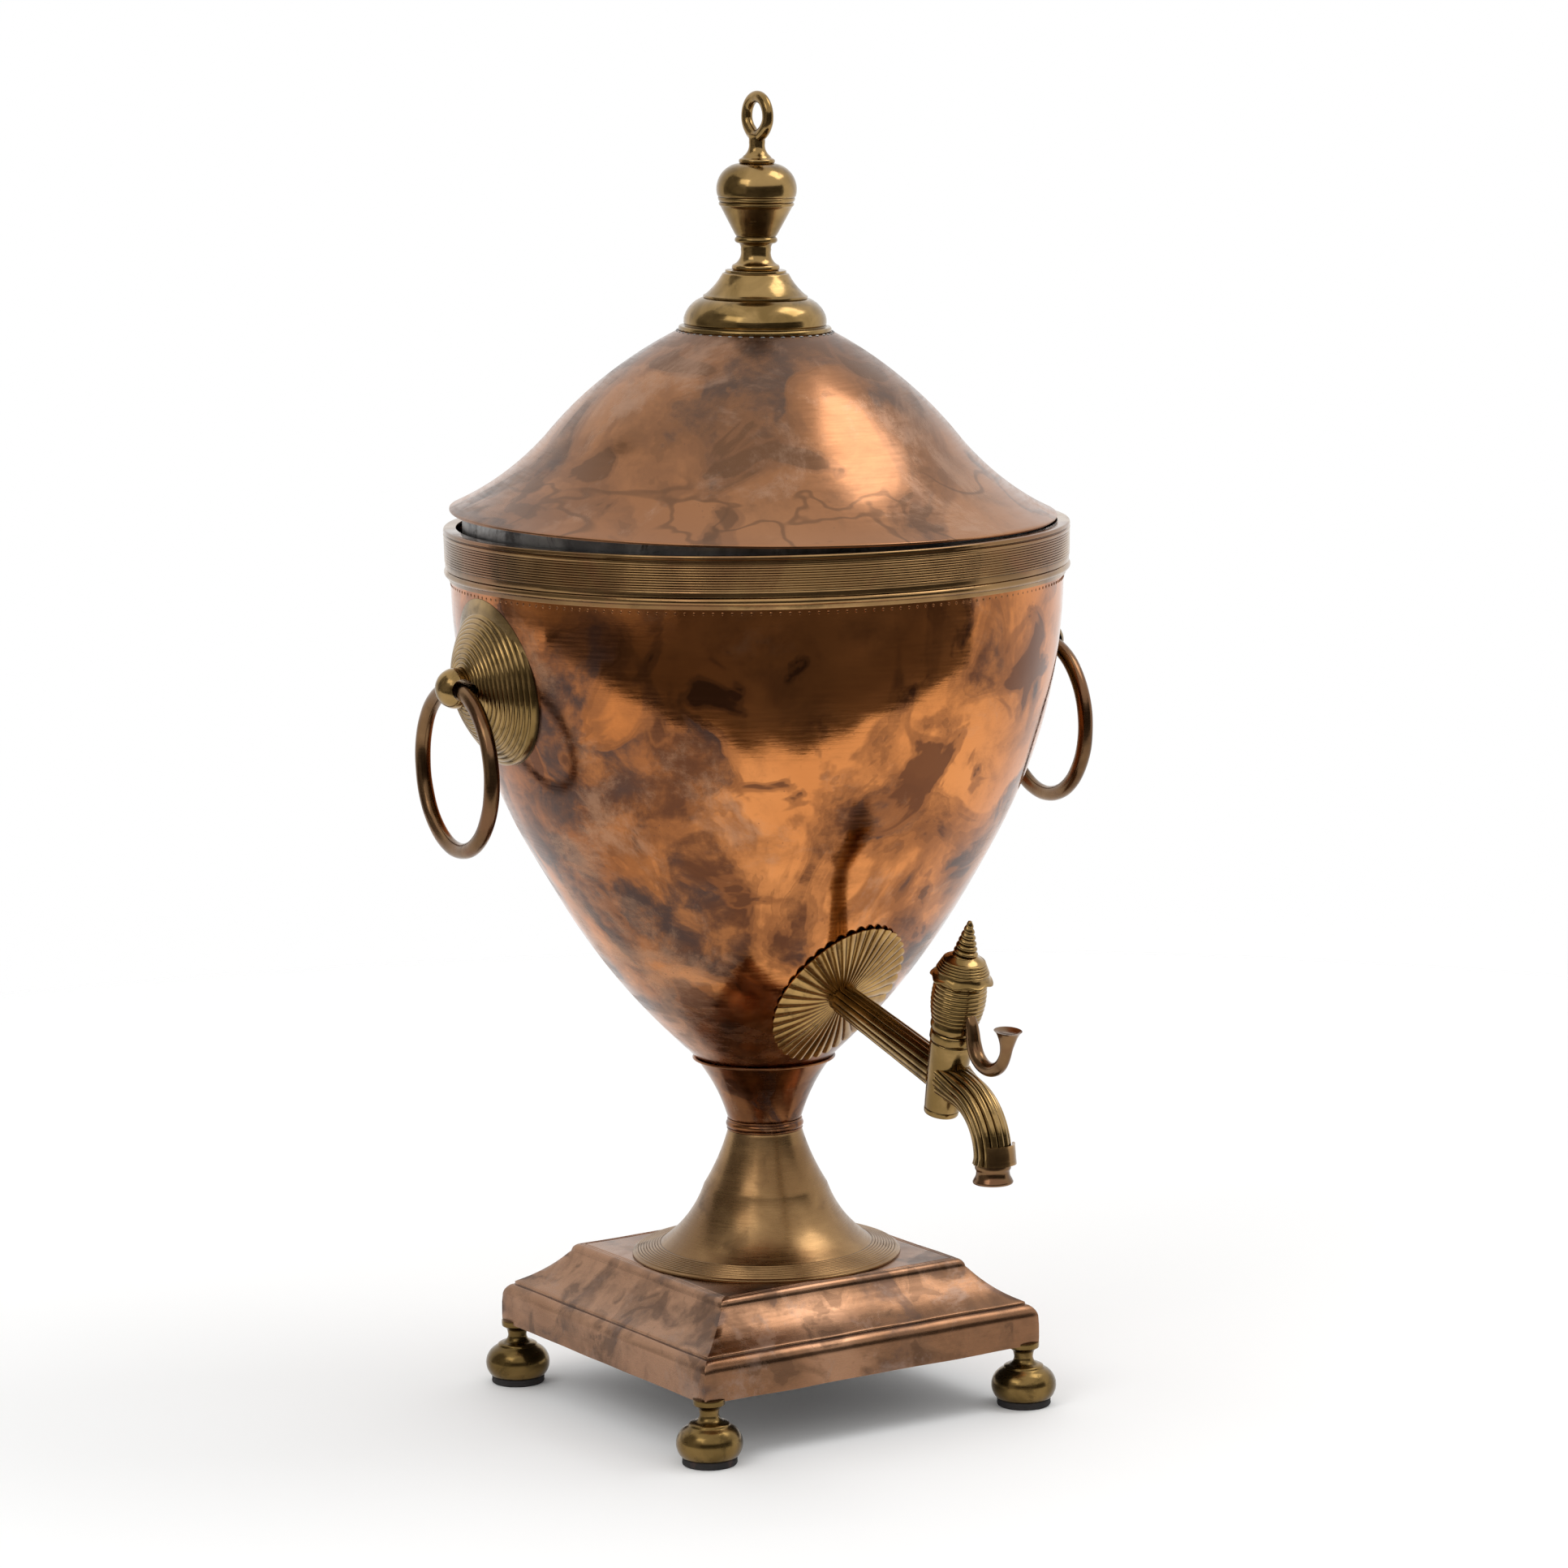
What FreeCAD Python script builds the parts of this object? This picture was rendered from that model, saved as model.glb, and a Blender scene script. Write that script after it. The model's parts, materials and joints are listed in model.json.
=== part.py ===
import FreeCAD, Part
import math
import os

import Sketcher
from FreeCAD import Placement, Rotation, Vector

# Driving dimensions in millimetres and degrees, one spreadsheet cell each
SIZES = {
    # running and solder clearances
    "fit_gap": 0.05,
    "solder_gap": 0.1,
    "rest_gap": 0.3,
    # plinth: a square copper box with a coved and rounded moulding
    "plinth_half": 81.2,
    "plinth_bottom": 26.8,
    "plinth_skirt_top": 37.0,
    "plinth_shoulder_half": 78.2,
    "plinth_shoulder_top": 42.3,
    "plinth_bulge_half": 80.5,
    "plinth_bulge_top": 39.9,
    "plinth_line_depth": 0.9,
    "plinth_line_height": 1.2,
    "plinth_cove_half": 59.6,
    "plinth_cove_top": 57.7,
    "plinth_cove_mid_half": 67.6,
    "plinth_cove_mid_top": 49.4,
    "plinth_top_half": 57.2,
    "plinth_top": 60.75,
    "plinth_round_half": 58.7,
    "plinth_round_top": 59.7,
    "plinth_sheet": 1.2,
    "base_plate_thickness": 1.6,
    # bun feet and felt pads
    "foot_inset": 4.6,
    "pad_radius": 11.3,
    "pad_thickness": 3.0,
    "foot_sole_radius": 11.0,
    "foot_bun_radius": 13.4,
    "foot_bun_middle": 9.4,
    "foot_bun_top": 16.6,
    "foot_neck_radius": 4.0,
    "foot_neck_bottom": 19.0,
    "foot_neck_top": 22.6,
    "foot_flange_radius": 6.4,
    "foot_flange_edge": 1.6,
    "foot_tail_radius": 1.5,
    "foot_tail_length": 6.0,
    "foot_nut_width": 5.5,
    "foot_nut_height": 2.4,
    # stem
    "stem_disc_radius": 55.8,
    "stem_disc_edge": 1.2,
    "stem_reed_inner": 44.0,
    "stem_reed_top": 65.6,
    "stem_reed_count": 5,
    "stem_reed_depth": 0.45,
    "stem_flare_radius": 25.7,
    "stem_flare_height": 89.75,
    "stem_low_mid_radius": 33.3,
    "stem_low_mid_height": 75.6,
    "stem_high_mid_radius": 19.3,
    "stem_high_mid_height": 102.0,
    "stem_waist_radius": 15.4,
    "stem_waist_height": 113.2,
    "stem_wall": 3.2,
    "stem_collar_radius": 15.9,
    "stem_collar_height": 4.9,
    "stem_cone_radius": 15.3,
    "stem_cone_mid_radius": 20.4,
    "stem_cone_mid_share": 0.51764705882353,
    "stem_cone_top_radius": 28.0,
    "stem_lip_radius": 29.7,
    "stem_lip_height": 0.9,
    "stem_cone_sheet": 1.1,
    "tie_rod_radius": 4.0,
    "tie_flange_radius": 22.0,
    "tie_flange_height": 3.0,
    "tie_washer_radius": 18.0,
    "tie_washer_height": 2.0,
    "tie_nut_width": 13.0,
    "tie_nut_height": 6.5,
    # bowl: three tangent curves, each point with its slope from the vertical
    "bowl_top_radius": 125.1,
    "bowl_top_height": 363.6,
    "bowl_straight_height": 345.0,
    "bowl_belly_radius": 117.3,
    "bowl_belly_height": 287.7,
    "bowl_belly_slope": 14.9,
    "bowl_waist_radius": 95.0,
    "bowl_waist_height": 233.0,
    "bowl_waist_slope": 29.5,
    "bowl_flank_radius": 84.25,
    "bowl_flank_height": 214.0,
    "bowl_flank_slope": 29.6,
    "bowl_lower_radius": 59.6,
    "bowl_lower_height": 178.0,
    "bowl_lower_slope": 38.7,
    "bowl_floor_radius": 28.4,
    "bowl_floor_height": 144.6,
    "bowl_floor_slope": 47.8,
    "bowl_sheet": 1.2,
    # rim band
    "rim_radius": 127.8,
    "rim_top_height": 366.0,
    "rim_lip_radius": 122.6,
    "rim_round": 0.9,
    "rim_groove_depth": 0.6,
    "rim_groove_width": 0.8,
    "rim_groove_height": 364.4,
    "rim_reed_top": 362.2,
    "rim_reed_pitch": 1.95,
    "rim_reed_count": 5,
    "rim_reed_depth": 0.6,
    "rim_strip_radius": 127.3,
    "rim_strip_height": 351.8,
    "rim_torus_top": 349.6,
    "rim_torus_inner": 126.5,
    "rim_torus_bottom": 346.8,
    "rim_apron_radius": 126.0,
    "rim_bottom_height": 344.9,
    # handles: beehive boss with a drilled nose, and a ring
    "handle_turn": -4.4,
    "boss_tilt": 4.0,
    "boss_sink": 3.7072025508925,
    "boss_height": 309.0,
    "boss_radius": 34.1,
    "boss_skirt": 7.0,
    "boss_depth": 15.0,
    "boss_ring_count": 7,
    "boss_ring_step": 0.6,
    "boss_root_radius": 7.6,
    "nose_radius": 8.2,
    "nose_centre": 18.4,
    "eye_radius": 4.4,
    "eye_centre": 18.6,
    "boss_tail_radius": 3.0,
    "boss_tail_length": 9.0,
    "boss_nut_width": 10.0,
    "boss_nut_height": 5.0,
    "boss_nut_seat": 2.0,
    "ring_wire_radius": 3.15,
    "ring_mean_radius": 32.65,
    "ring_drop": 0.1,
    # heater sleeve, its iron and its cover
    "sleeve_radius": 26.0,
    "sleeve_wall": 1.5,
    "sleeve_height": 154.0,
    "sleeve_bead": 1.6,
    "iron_radius": 22.0,
    "iron_height": 104.0,
    "iron_chamfer": 3.0,
    "heater_eye_radius": 7.0,
    "heater_eye_wire": 2.2,
    "heater_tail_length": 12.0,
    "cover_radius": 27.6,
    "cover_thickness": 1.6,
    "cover_skirt_radius": 23.6,
    "cover_skirt_depth": 8.0,
    "cover_skirt_sheet": 1.2,
    "cover_knob_radius": 6.5,
    "cover_knob_height": 14.0,
    "cover_knob_flat": 1.5,
    "cover_tail_radius": 1.6,
    # tap: its frame has the plug on Z and the pipe on Y, tipped forward as a whole
    "tap_drill_start": 64.2,
    "tap_reach": 134.0,
    "tap_height": 157.7,
    "tap_tilt": 15.0,
    "barrel_bottom": 15.5,
    "barrel_top": 20.2,
    "barrel_low_radius": 6.9,
    "barrel_high_radius": 9.0,
    "barrel_band_height": 3.2,
    "barrel_band_step": 0.4,
    "plug_low_radius": 3.95,
    "plug_high_radius": 5.5,
    "plug_port_radius": 3.2,
    "plug_tang_radius": 3.4,
    "barrel_recess_radius": 5.5,
    "barrel_recess_depth": 2.8,
    "shank_length": 77.3,
    "shank_flute_end": 74.2,
    "shank_near_radius": 7.6,
    "shank_far_radius": 6.4,
    "shank_bore_radius": 3.4,
    "flute_count": 14,
    "flute_depth": 0.7,
    "spigot_radius": 5.9,
    "spigot_length": 96.0,
    "socket_radius": 11.0,
    "socket_end": 86.0,
    "tap_washer_radius": 9.8,
    "tap_washer_height": 1.6,
    "backnut_width": 17.0,
    "backnut_height": 6.0,
    "strainer_radius": 7.6,
    "strainer_depth": 8.5,
    "strainer_wall": 1.0,
    "strainer_hole_radius": 0.9,
    "strainer_hole_count": 8,
    "rosette_half_width": 26.6,
    "rosette_half_height": 38.4,
    "rosette_lobe": 1.1,
    "rosette_lobe_count": 24,
    "rosette_thickness": 1.7,
    "rosette_groove_width": 1.1,
    "rosette_groove_depth": 0.9,
    "spout_root_radius": 9.3,
    "spout_root_rise": 2.2,
    "spout_straight": 14.2,
    "spout_bend_radius": 24.0,
    "spout_radius": 7.5,
    "spout_bore_radius": 4.6,
    "spout_collar_radius": 8.3,
    "spout_collar_height": 7.6,
    "spout_foot_height": 128.6,
    "nozzle_neck_radius": 6.7,
    "nozzle_lip_radius": 7.9,
    "nozzle_height": 7.8,
    # tap key
    "head_bottom": 21.6,
    "head_top": 43.0,
    "head_low_radius": 9.3,
    "head_mid_radius": 10.9,
    "head_top_radius": 9.9,
    "head_ring_count": 7,
    "head_ring_depth": 0.5,
    "cap_brim_radius": 12.3,
    "cap_lobe": 0.7,
    "cap_lobe_count": 8,
    "cap_brim_drop": 1.6,
    "cap_brim_height": 2.2,
    "cap_step_radius": 10.4,
    "cap_step_height": 47.6,
    "cap_crown_radius": 5.6,
    "cap_crown_height": 52.0,
    "spire_top": 67.0,
    "spire_tip_radius": 0.8,
    "spire_bead_count": 5,
    "spire_bead_depth": 0.6,
    "lever_radius": 2.75,
    "lever_root_out": 4.0,
    "lever_root_height": 31.5,
    "lever_shoulder_out": 10.2,
    "lever_shoulder_height": 28.2,
    "lever_drop_out": 14.2,
    "lever_drop_height": 21.0,
    "lever_low_out": 24.6,
    "lever_low_height": 15.2,
    "lever_rise_out": 35.4,
    "lever_rise_height": 24.0,
    "lever_tip_out": 34.4,
    "lever_tip_height": 35.6,
    "lever_trumpet_radius": 5.6,
    "lever_trumpet_length": 8.5,
    "key_washer_radius": 5.0,
    "key_washer_height": 1.3,
    "key_screw_radius": 3.0,
    "key_screw_height": 1.0,
    "key_screw_tail_radius": 1.3,
    "key_screw_tail_length": 7.0,
    # lid: its frame starts at the underside of its brim
    "lid_height": 370.15,
    "lid_tilt": 1.6,
    "lid_tilt_axis": 27.1,
    "lid_shift": 1.5,
    "lid_brim_radius": 123.9,
    "lid_brim_height": 1.2,
    "lid_cove_mid_radius": 104.0,
    "lid_cove_mid_height": 12.7,
    "lid_cove_mid_slope": 32.0,
    "lid_shoulder_radius": 84.8,
    "lid_shoulder_height": 30.3,
    "lid_shoulder_slope": 44.0,
    "lid_dome_mid_radius": 60.4,
    "lid_dome_mid_height": 54.9,
    "lid_dome_mid_slope": 40.0,
    "lid_crown_radius": 31.6,
    "lid_crown_height": 73.7,
    "lid_crown_slope": 24.0,
    "lid_sheet": 1.1,
    "spigot_ring_radius": 118.6,
    "spigot_ring_depth": 13.0,
    "spigot_ring_top": 1.95,
    "spigot_ring_bevel": 0.6,
    "spigot_ring_sheet": 1.2,
    "collar_foot_radius": 30.9,
    "collar_foot_height": 1.9,
    "collar_neck_radius": 28.9,
    "collar_neck_height": 5.2,
    "collar_dome_radius": 27.0,
    "collar_dome_height": 9.4,
    "collar_top_radius": 21.7,
    "collar_top_height": 13.2,
    "cone_foot_radius": 21.2,
    "cone_mid_radius": 16.3,
    "cone_mid_height": 5.6,
    "cone_top_radius": 12.6,
    "cone_top_height": 11.2,
    "collar_wall": 2.0,
    "finial_tail_radius": 3.5,
    "finial_tail_length": 34.0,
    "finial_foot_radius": 9.5,
    "finial_foot_height": 3.4,
    "finial_waist_radius": 6.4,
    "finial_waist_height": 8.6,
    "finial_ring_radius": 8.5,
    "finial_ring_height": 12.4,
    "finial_under_radius": 8.4,
    "finial_under_height": 14.3,
    "finial_belly_radius": 12.1,
    "finial_belly_height": 20.2,
    "finial_band_radius": 14.9,
    "finial_band_height": 26.1,
    "finial_wide_radius": 16.25,
    "finial_wide_height": 33.0,
    "finial_shoulder_radius": 14.3,
    "finial_shoulder_height": 37.9,
    "finial_crown_radius": 7.0,
    "finial_crown_height": 42.9,
    "finial_groove_depth": 0.6,
    "loop_flange_radius": 7.2,
    "loop_flange_height": 2.4,
    "loop_neck_radius": 3.5,
    "loop_neck_height": 8.0,
    "loop_mean_radius": 7.9,
    "loop_wire_radius": 2.45,
    "loop_tail_radius": 2.0,
    "loop_tail_length": 9.0,
    "finial_nut_width": 12.0,
    "finial_nut_height": 6.0,
    "finial_washer_radius": 11.0,
    "finial_washer_height": 1.6,
}

SHEET_NAME = "Sizes"
document = FreeCAD.newDocument("samovar")


class Size:
    """A number together with the spreadsheet formula that gives it."""

    def __init__(self, number, formula):
        self.number = number
        self.formula = formula

    def __add__(self, other):
        other = as_size(other)
        return Size(self.number + other.number, f"({self.formula} + {other.formula})")

    def __sub__(self, other):
        other = as_size(other)
        return Size(self.number - other.number, f"({self.formula} - {other.formula})")

    def __mul__(self, other):
        other = as_size(other)
        return Size(self.number * other.number, f"({self.formula} * {other.formula})")

    def __truediv__(self, other):
        other = as_size(other)
        return Size(self.number / other.number, f"({self.formula} / {other.formula})")

    def __radd__(self, other):
        return as_size(other) + self

    def __rsub__(self, other):
        return as_size(other) - self

    def __rmul__(self, other):
        return as_size(other) * self

    def __neg__(self):
        return Size(-self.number, f"(0 - {self.formula})")


def as_size(value):
    return value if isinstance(value, Size) else Size(float(value), str(value))


def cosine(angle):
    return Size(math.cos(math.radians(angle.number)), f"cos({angle.formula})")


def sine(angle):
    return Size(math.sin(math.radians(angle.number)), f"sin({angle.formula})")


def number(value):
    return as_size(value).number


class Sheet:
    """The spreadsheet of driving dimensions, read back as sizes."""

    def __init__(self):
        sheet = document.addObject("Spreadsheet::Sheet", SHEET_NAME)
        for row, (alias, value) in enumerate(SIZES.items(), start=1):
            sheet.set(f"A{row}", alias.replace("_", " "))
            sheet.set(f"B{row}", str(value))
            sheet.setAlias(f"B{row}", alias)
        document.recompute()
        for alias in SIZES:
            setattr(self, alias, Size(float(sheet.get(alias)), f"{SHEET_NAME}.{alias}"))


S = Sheet()
FULL_TURN = 360.0
OVERCUT = 5.0
UP = Vector(0, 0, 1)


def bind(thing, path, value):
    """Ties a property to the sheet when its value comes from there."""
    if isinstance(value, Size):
        thing.setExpression(path, value.formula)


def origin_plane(body, role):
    return next(part for part in body.Origin.OriginFeatures if part.Role == role)


def point(pair):
    return Vector(number(pair[0]), number(pair[1]), 0)


def add_edge(sketch, start, step):
    """Adds a line, or an arc through a point, and says which of its ends is the start."""
    if len(step) == 2:
        return sketch.addGeometry(Part.LineSegment(point(start), point(step))), 1, 2
    via = step[:2]
    end = step[2:]
    bend = (point(via) - point(start)).cross(point(end) - point(start)).z
    if bend > 0:
        return sketch.addGeometry(Part.Arc(point(start), point(via), point(end))), 1, 2
    return sketch.addGeometry(Part.Arc(point(end), point(via), point(start))), 2, 1


def place_point(sketch, rules, names, index, end, pair):
    """Constraint pairs that put one sketch point at sizes from the sheet."""
    for kind, axis, value in (("DistanceX", -2, pair[0]), ("DistanceY", -1, pair[1])):
        if not isinstance(value, Size) and value == 0:
            rules.append(Sketcher.Constraint("PointOnObject", index, end, axis))
            continue
        names.append((len(rules), value))
        rules.append(Sketcher.Constraint(kind, -1, 1, index, end, number(value)))


def outline_sketch(body, role, start, steps):
    """A closed outline in which every corner and every point on an arc is bound to the sheet."""
    sketch = body.newObject("Sketcher::SketchObject", body.Name + "_outline")
    sketch.AttachmentSupport = (origin_plane(body, role), [""])
    sketch.MapMode = "FlatFace"
    rules = []
    names = []
    here = start
    edges = []
    closed = point(steps[-1][-2:]) == point(start)
    for step in list(steps) + ([] if closed else [start]):
        index, first, last = add_edge(sketch, here, step)
        place_point(sketch, rules, names, index, first, here)
        if len(step) == 4:
            via = sketch.addGeometry(Part.Point(point(step[:2])), True)
            place_point(sketch, rules, names, via, 1, step[:2])
            rules.append(Sketcher.Constraint("PointOnObject", via, 1, index))
        edges.append((index, first, last))
        here = step[-2:]
    for (index, _, last), (following, first, _) in zip(edges, edges[1:] + edges[:1]):
        rules.append(Sketcher.Constraint("Coincident", index, last, following, first))
    sketch.addConstraint(rules)
    for place, value in names:
        label = f"size_{place}"
        sketch.renameConstraint(place, label)
        bind(sketch, f"Constraints.{label}", value)
    return sketch


def new_body(name):
    body = document.addObject("PartDesign::Body", name)
    body.Label = name
    return body


def turned(name, start, *steps):
    """A lathe-turned body: an outline of (radius, height) points turned about Z."""
    body = new_body(name)
    sketch = outline_sketch(body, "XZ_Plane", start, steps)
    turn = body.newObject("PartDesign::Revolution", name + "_turn")
    turn.Profile = sketch
    turn.ReferenceAxis = (sketch, ["V_Axis"])
    turn.Angle = FULL_TURN
    return body


def padded(name, role, start, steps, length):
    """A flat outline pushed out to both sides of its plane."""
    body = new_body(name)
    sketch = outline_sketch(body, role, start, steps)
    pad = body.newObject("PartDesign::Pad", name + "_pad")
    pad.Profile = sketch
    pad.Midplane = True
    pad.Length = number(length)
    bind(pad, "Length", as_size(length))
    return body


def cylinder(name, radius, height, base=0):
    rod = document.addObject("Part::Cylinder", name)
    rod.Radius = number(radius)
    rod.Height = number(height)
    bind(rod, "Radius", radius)
    bind(rod, "Height", height)
    rod.Placement = Placement(Vector(0, 0, number(base)), Rotation())
    return rod


def hexagon(name, width, height, base):
    """A hexagon blank of a given width across its flats."""
    prism = document.addObject("Part::Prism", name)
    prism.Polygon = 6
    across_corners = width / (2 * cosine(as_size(30)))
    prism.Circumradius = number(across_corners)
    prism.Height = number(height)
    bind(prism, "Circumradius", across_corners)
    bind(prism, "Height", height)
    prism.Placement = Placement(Vector(0, 0, number(base)), Rotation())
    return prism


def joined(name, pieces):
    fused = document.addObject("Part::MultiFuse", name)
    fused.Label = name
    fused.Shapes = pieces
    return fused


def cut(name, base, tool):
    result = document.addObject("Part::Cut", name)
    result.Label = name
    result.Base = base
    result.Tool = tool
    return result


def common(name, base, tool):
    result = document.addObject("Part::Common", name)
    result.Label = name
    result.Base = base
    result.Tool = tool
    return result


def held(name, shape, placement=None):
    """A piece whose shape the script sets itself."""
    feature = document.addObject("Part::Feature", name)
    feature.Label = name
    feature.Shape = shape
    if placement is not None:
        feature.Placement = placement
    return feature


def nut(name, width, height, base, hole):
    blank = hexagon(name + "_blank", width, height, base)
    drill = cylinder(name + "_drill", hole, height + 2 * OVERCUT, base - OVERCUT)
    return cut(name, blank, drill)


def washer(name, radius, height, base, hole):
    return turned(name, (hole, base), (radius, base), (radius, base + height), (hole, base + height))


def copies(name, part, placements):
    """One node that holds the same fastener at several places."""
    document.recompute()
    return held(name, Part.makeCompound([part.Shape.transformed(spot.Matrix) for spot in placements]))


# Plinth
def plinth_profile(name, role, sheet):
    """Half of the moulding on each side of the middle, drawn inside by the sheet's thickness."""
    half = S.plinth_half - sheet
    shoulder = S.plinth_shoulder_half - sheet
    line = shoulder - S.plinth_line_depth
    top = S.plinth_top - sheet
    bottom = S.plinth_bottom - (sheet if isinstance(sheet, Size) else 0)
    cove = (S.plinth_cove_half - sheet, S.plinth_cove_top - sheet)
    right = [
        (half, S.plinth_skirt_top),
        (S.plinth_bulge_half - sheet, S.plinth_bulge_top, shoulder, S.plinth_shoulder_top - sheet),
        (line, S.plinth_shoulder_top - sheet),
        (line, S.plinth_shoulder_top + S.plinth_line_height - sheet),
        (S.plinth_cove_mid_half - sheet, S.plinth_cove_mid_top - sheet, *cove),
        (S.plinth_round_half - sheet, S.plinth_round_top - sheet, S.plinth_top_half - sheet, top),
    ]
    left = [
        (-(S.plinth_top_half - sheet), top),
        (-(S.plinth_round_half - sheet), S.plinth_round_top - sheet, -cove[0], cove[1]),
        (-(S.plinth_cove_mid_half - sheet), S.plinth_cove_mid_top - sheet,
         -line, S.plinth_shoulder_top + S.plinth_line_height - sheet),
        (-line, S.plinth_shoulder_top - sheet),
        (-shoulder, S.plinth_shoulder_top - sheet),
        (-(S.plinth_bulge_half - sheet), S.plinth_bulge_top, -half, S.plinth_skirt_top),
        (-half, bottom),
    ]
    return padded(name, role, (half, bottom), right + left, 4 * S.plinth_half)


def plinth_form(name, sheet):
    """Two mouldings crossed at right angles give the mitred corners."""
    along = plinth_profile(name + "_along", "XZ_Plane", sheet)
    across = plinth_profile(name + "_across", "YZ_Plane", sheet)
    return common(name, along, across)


def plinth_shell():
    outer = plinth_form("plinth_outside", 0)
    inner = plinth_form("plinth_inside", S.plinth_sheet)
    box = cut("plinth_box", outer, inner)
    hole = cylinder("plinth_hole", S.tie_rod_radius + S.rest_gap, 2 * S.plinth_top)
    return cut("plinth_shell", box, hole)


def foot_spots():
    reach = S.plinth_half.number - S.foot_inset.number
    names = {"front_left": (-1, -1), "front_right": (1, -1), "back_left": (-1, 1), "back_right": (1, 1)}
    return {name: Placement(Vector(x * reach, y * reach, 0), Rotation()) for name, (x, y) in names.items()}


def plinth_base_plate():
    side = 2 * (S.plinth_half - S.plinth_sheet - S.solder_gap)
    plate = document.addObject("Part::Box", "base_plate_blank")
    for path, value in (("Length", side), ("Width", side), ("Height", S.base_plate_thickness)):
        setattr(plate, path, number(value))
        bind(plate, path, value)
    corner = -number(side) / 2
    plate.Placement = Placement(Vector(corner, corner, S.plinth_bottom.number), Rotation())
    drills = []
    for name, spot in foot_spots().items():
        drill = cylinder("drill_" + name, S.foot_tail_radius + S.fit_gap, 2 * S.plinth_top)
        drill.Placement = spot
        drills.append(drill)
    return cut("plinth_base_plate", plate, joined("base_plate_drills", drills))


def foot(name):
    """Turned bun with a waisted neck, a flange and a threaded tail."""
    flange_bottom = S.plinth_bottom - S.foot_flange_edge
    tail_top = S.plinth_bottom + S.foot_tail_length
    shoulder = S.foot_neck_radius + S.foot_flange_edge
    return turned(
        name,
        (0, S.pad_thickness),
        (S.foot_sole_radius, S.pad_thickness),
        (S.foot_bun_radius, S.foot_bun_middle, shoulder + S.foot_flange_edge, S.foot_bun_top),
        (shoulder, S.foot_bun_top),
        (S.foot_neck_radius, S.foot_neck_bottom),
        (S.foot_neck_radius, S.foot_neck_top),
        (S.foot_flange_radius, flange_bottom),
        (S.foot_flange_radius, S.plinth_bottom),
        (S.foot_tail_radius, S.plinth_bottom),
        (S.foot_tail_radius, tail_top),
        (0, tail_top),
    )


def feet_and_pads():
    pieces = []
    for name, spot in foot_spots().items():
        pad = cylinder("pad_" + name, S.pad_radius, S.pad_thickness)
        bun = foot("foot_" + name)
        for piece in (pad, bun):
            piece.Placement = spot
            pieces.append(piece)
    plate_top = S.plinth_bottom + S.base_plate_thickness
    small = nut("foot_nut", S.foot_nut_width, S.foot_nut_height, plate_top, S.foot_tail_radius + S.fit_gap)
    pieces.append(copies("foot_nuts", small, foot_spots().values()))
    return pieces


# Stem
def stem_lower():
    """Cast brass flare: a reeded disc that sweeps up to the waist, hollow below."""
    width = (S.stem_disc_radius - S.stem_reed_inner) / S.stem_reed_count
    foot_top = S.plinth_top + S.stem_disc_edge
    rise = (S.stem_reed_top - foot_top) / S.stem_reed_count
    reeds = []
    for index in range(int(S.stem_reed_count.number)):
        outer = S.stem_disc_radius - index * width
        height = foot_top + index * rise
        crown = height + rise / 2 + S.stem_reed_depth
        reeds.append((outer - width / 2, crown, outer - width, height + rise))
    bore = S.tie_rod_radius + S.rest_gap
    cavity = S.stem_waist_radius - S.stem_wall
    return turned(
        "stem_lower",
        (S.stem_reed_inner - S.stem_wall, S.plinth_top),
        (S.stem_disc_radius, S.plinth_top),
        (S.stem_disc_radius, foot_top),
        *reeds,
        (S.stem_low_mid_radius, S.stem_low_mid_height, S.stem_flare_radius, S.stem_flare_height),
        (S.stem_high_mid_radius, S.stem_high_mid_height, S.stem_waist_radius, S.stem_waist_height),
        (bore, S.stem_waist_height),
        (bore, S.stem_waist_height - S.stem_wall),
        (cavity, S.stem_waist_height - S.stem_wall),
        (S.stem_flare_radius - S.stem_wall, S.stem_flare_height - S.stem_wall / 2),
    )


def stem_collar():
    base = S.stem_waist_height
    top = base + S.stem_collar_height
    bore = S.tie_rod_radius + S.rest_gap
    return turned(
        "stem_collar",
        (bore, base),
        (S.stem_cone_radius, base),
        (S.stem_collar_radius, base + S.stem_collar_height / 2, S.stem_cone_radius, top),
        (bore, top),
    )


def stem_upper():
    """Spun copper cone with a thin turned-out lip under the bowl."""
    base = S.stem_waist_height + S.stem_collar_height
    lip = S.bowl_floor_height - S.solder_gap
    sheet = S.stem_cone_sheet
    under_lip = lip - S.stem_lip_height
    middle = base + (under_lip - base) * S.stem_cone_mid_share
    return turned(
        "stem_upper",
        (S.stem_cone_radius - sheet, base),
        (S.stem_cone_radius, base),
        (S.stem_cone_mid_radius, middle, S.stem_cone_top_radius, under_lip),
        (S.stem_lip_radius, under_lip),
        (S.stem_lip_radius, lip),
        (S.stem_cone_top_radius - sheet, lip),
        (S.stem_cone_mid_radius - sheet, middle, S.stem_cone_radius - sheet, base),
    )


def stem_tie():
    """Rod with a flange brazed under the bowl, drawn down by a nut inside the plinth."""
    flange_top = S.bowl_floor_height - S.solder_gap
    flange_bottom = flange_top - S.tie_flange_height
    seat = S.plinth_top - S.plinth_sheet - S.fit_gap
    nut_top = seat - S.tie_washer_height
    nut_bottom = nut_top - S.tie_nut_height
    end = nut_bottom - S.stem_wall
    hole = S.tie_rod_radius + S.fit_gap
    rod = turned(
        "stem_tie_rod",
        (0, end),
        (S.tie_rod_radius, end),
        (S.tie_rod_radius, flange_bottom),
        (S.tie_flange_radius, flange_bottom),
        (S.tie_flange_radius, flange_top),
        (0, flange_top),
    )
    plate = washer("tie_washer", S.tie_washer_radius, S.tie_washer_height, nut_top, hole)
    return [rod, plate, nut("tie_nut", S.tie_nut_width, S.tie_nut_height, nut_bottom, hole)]


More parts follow.
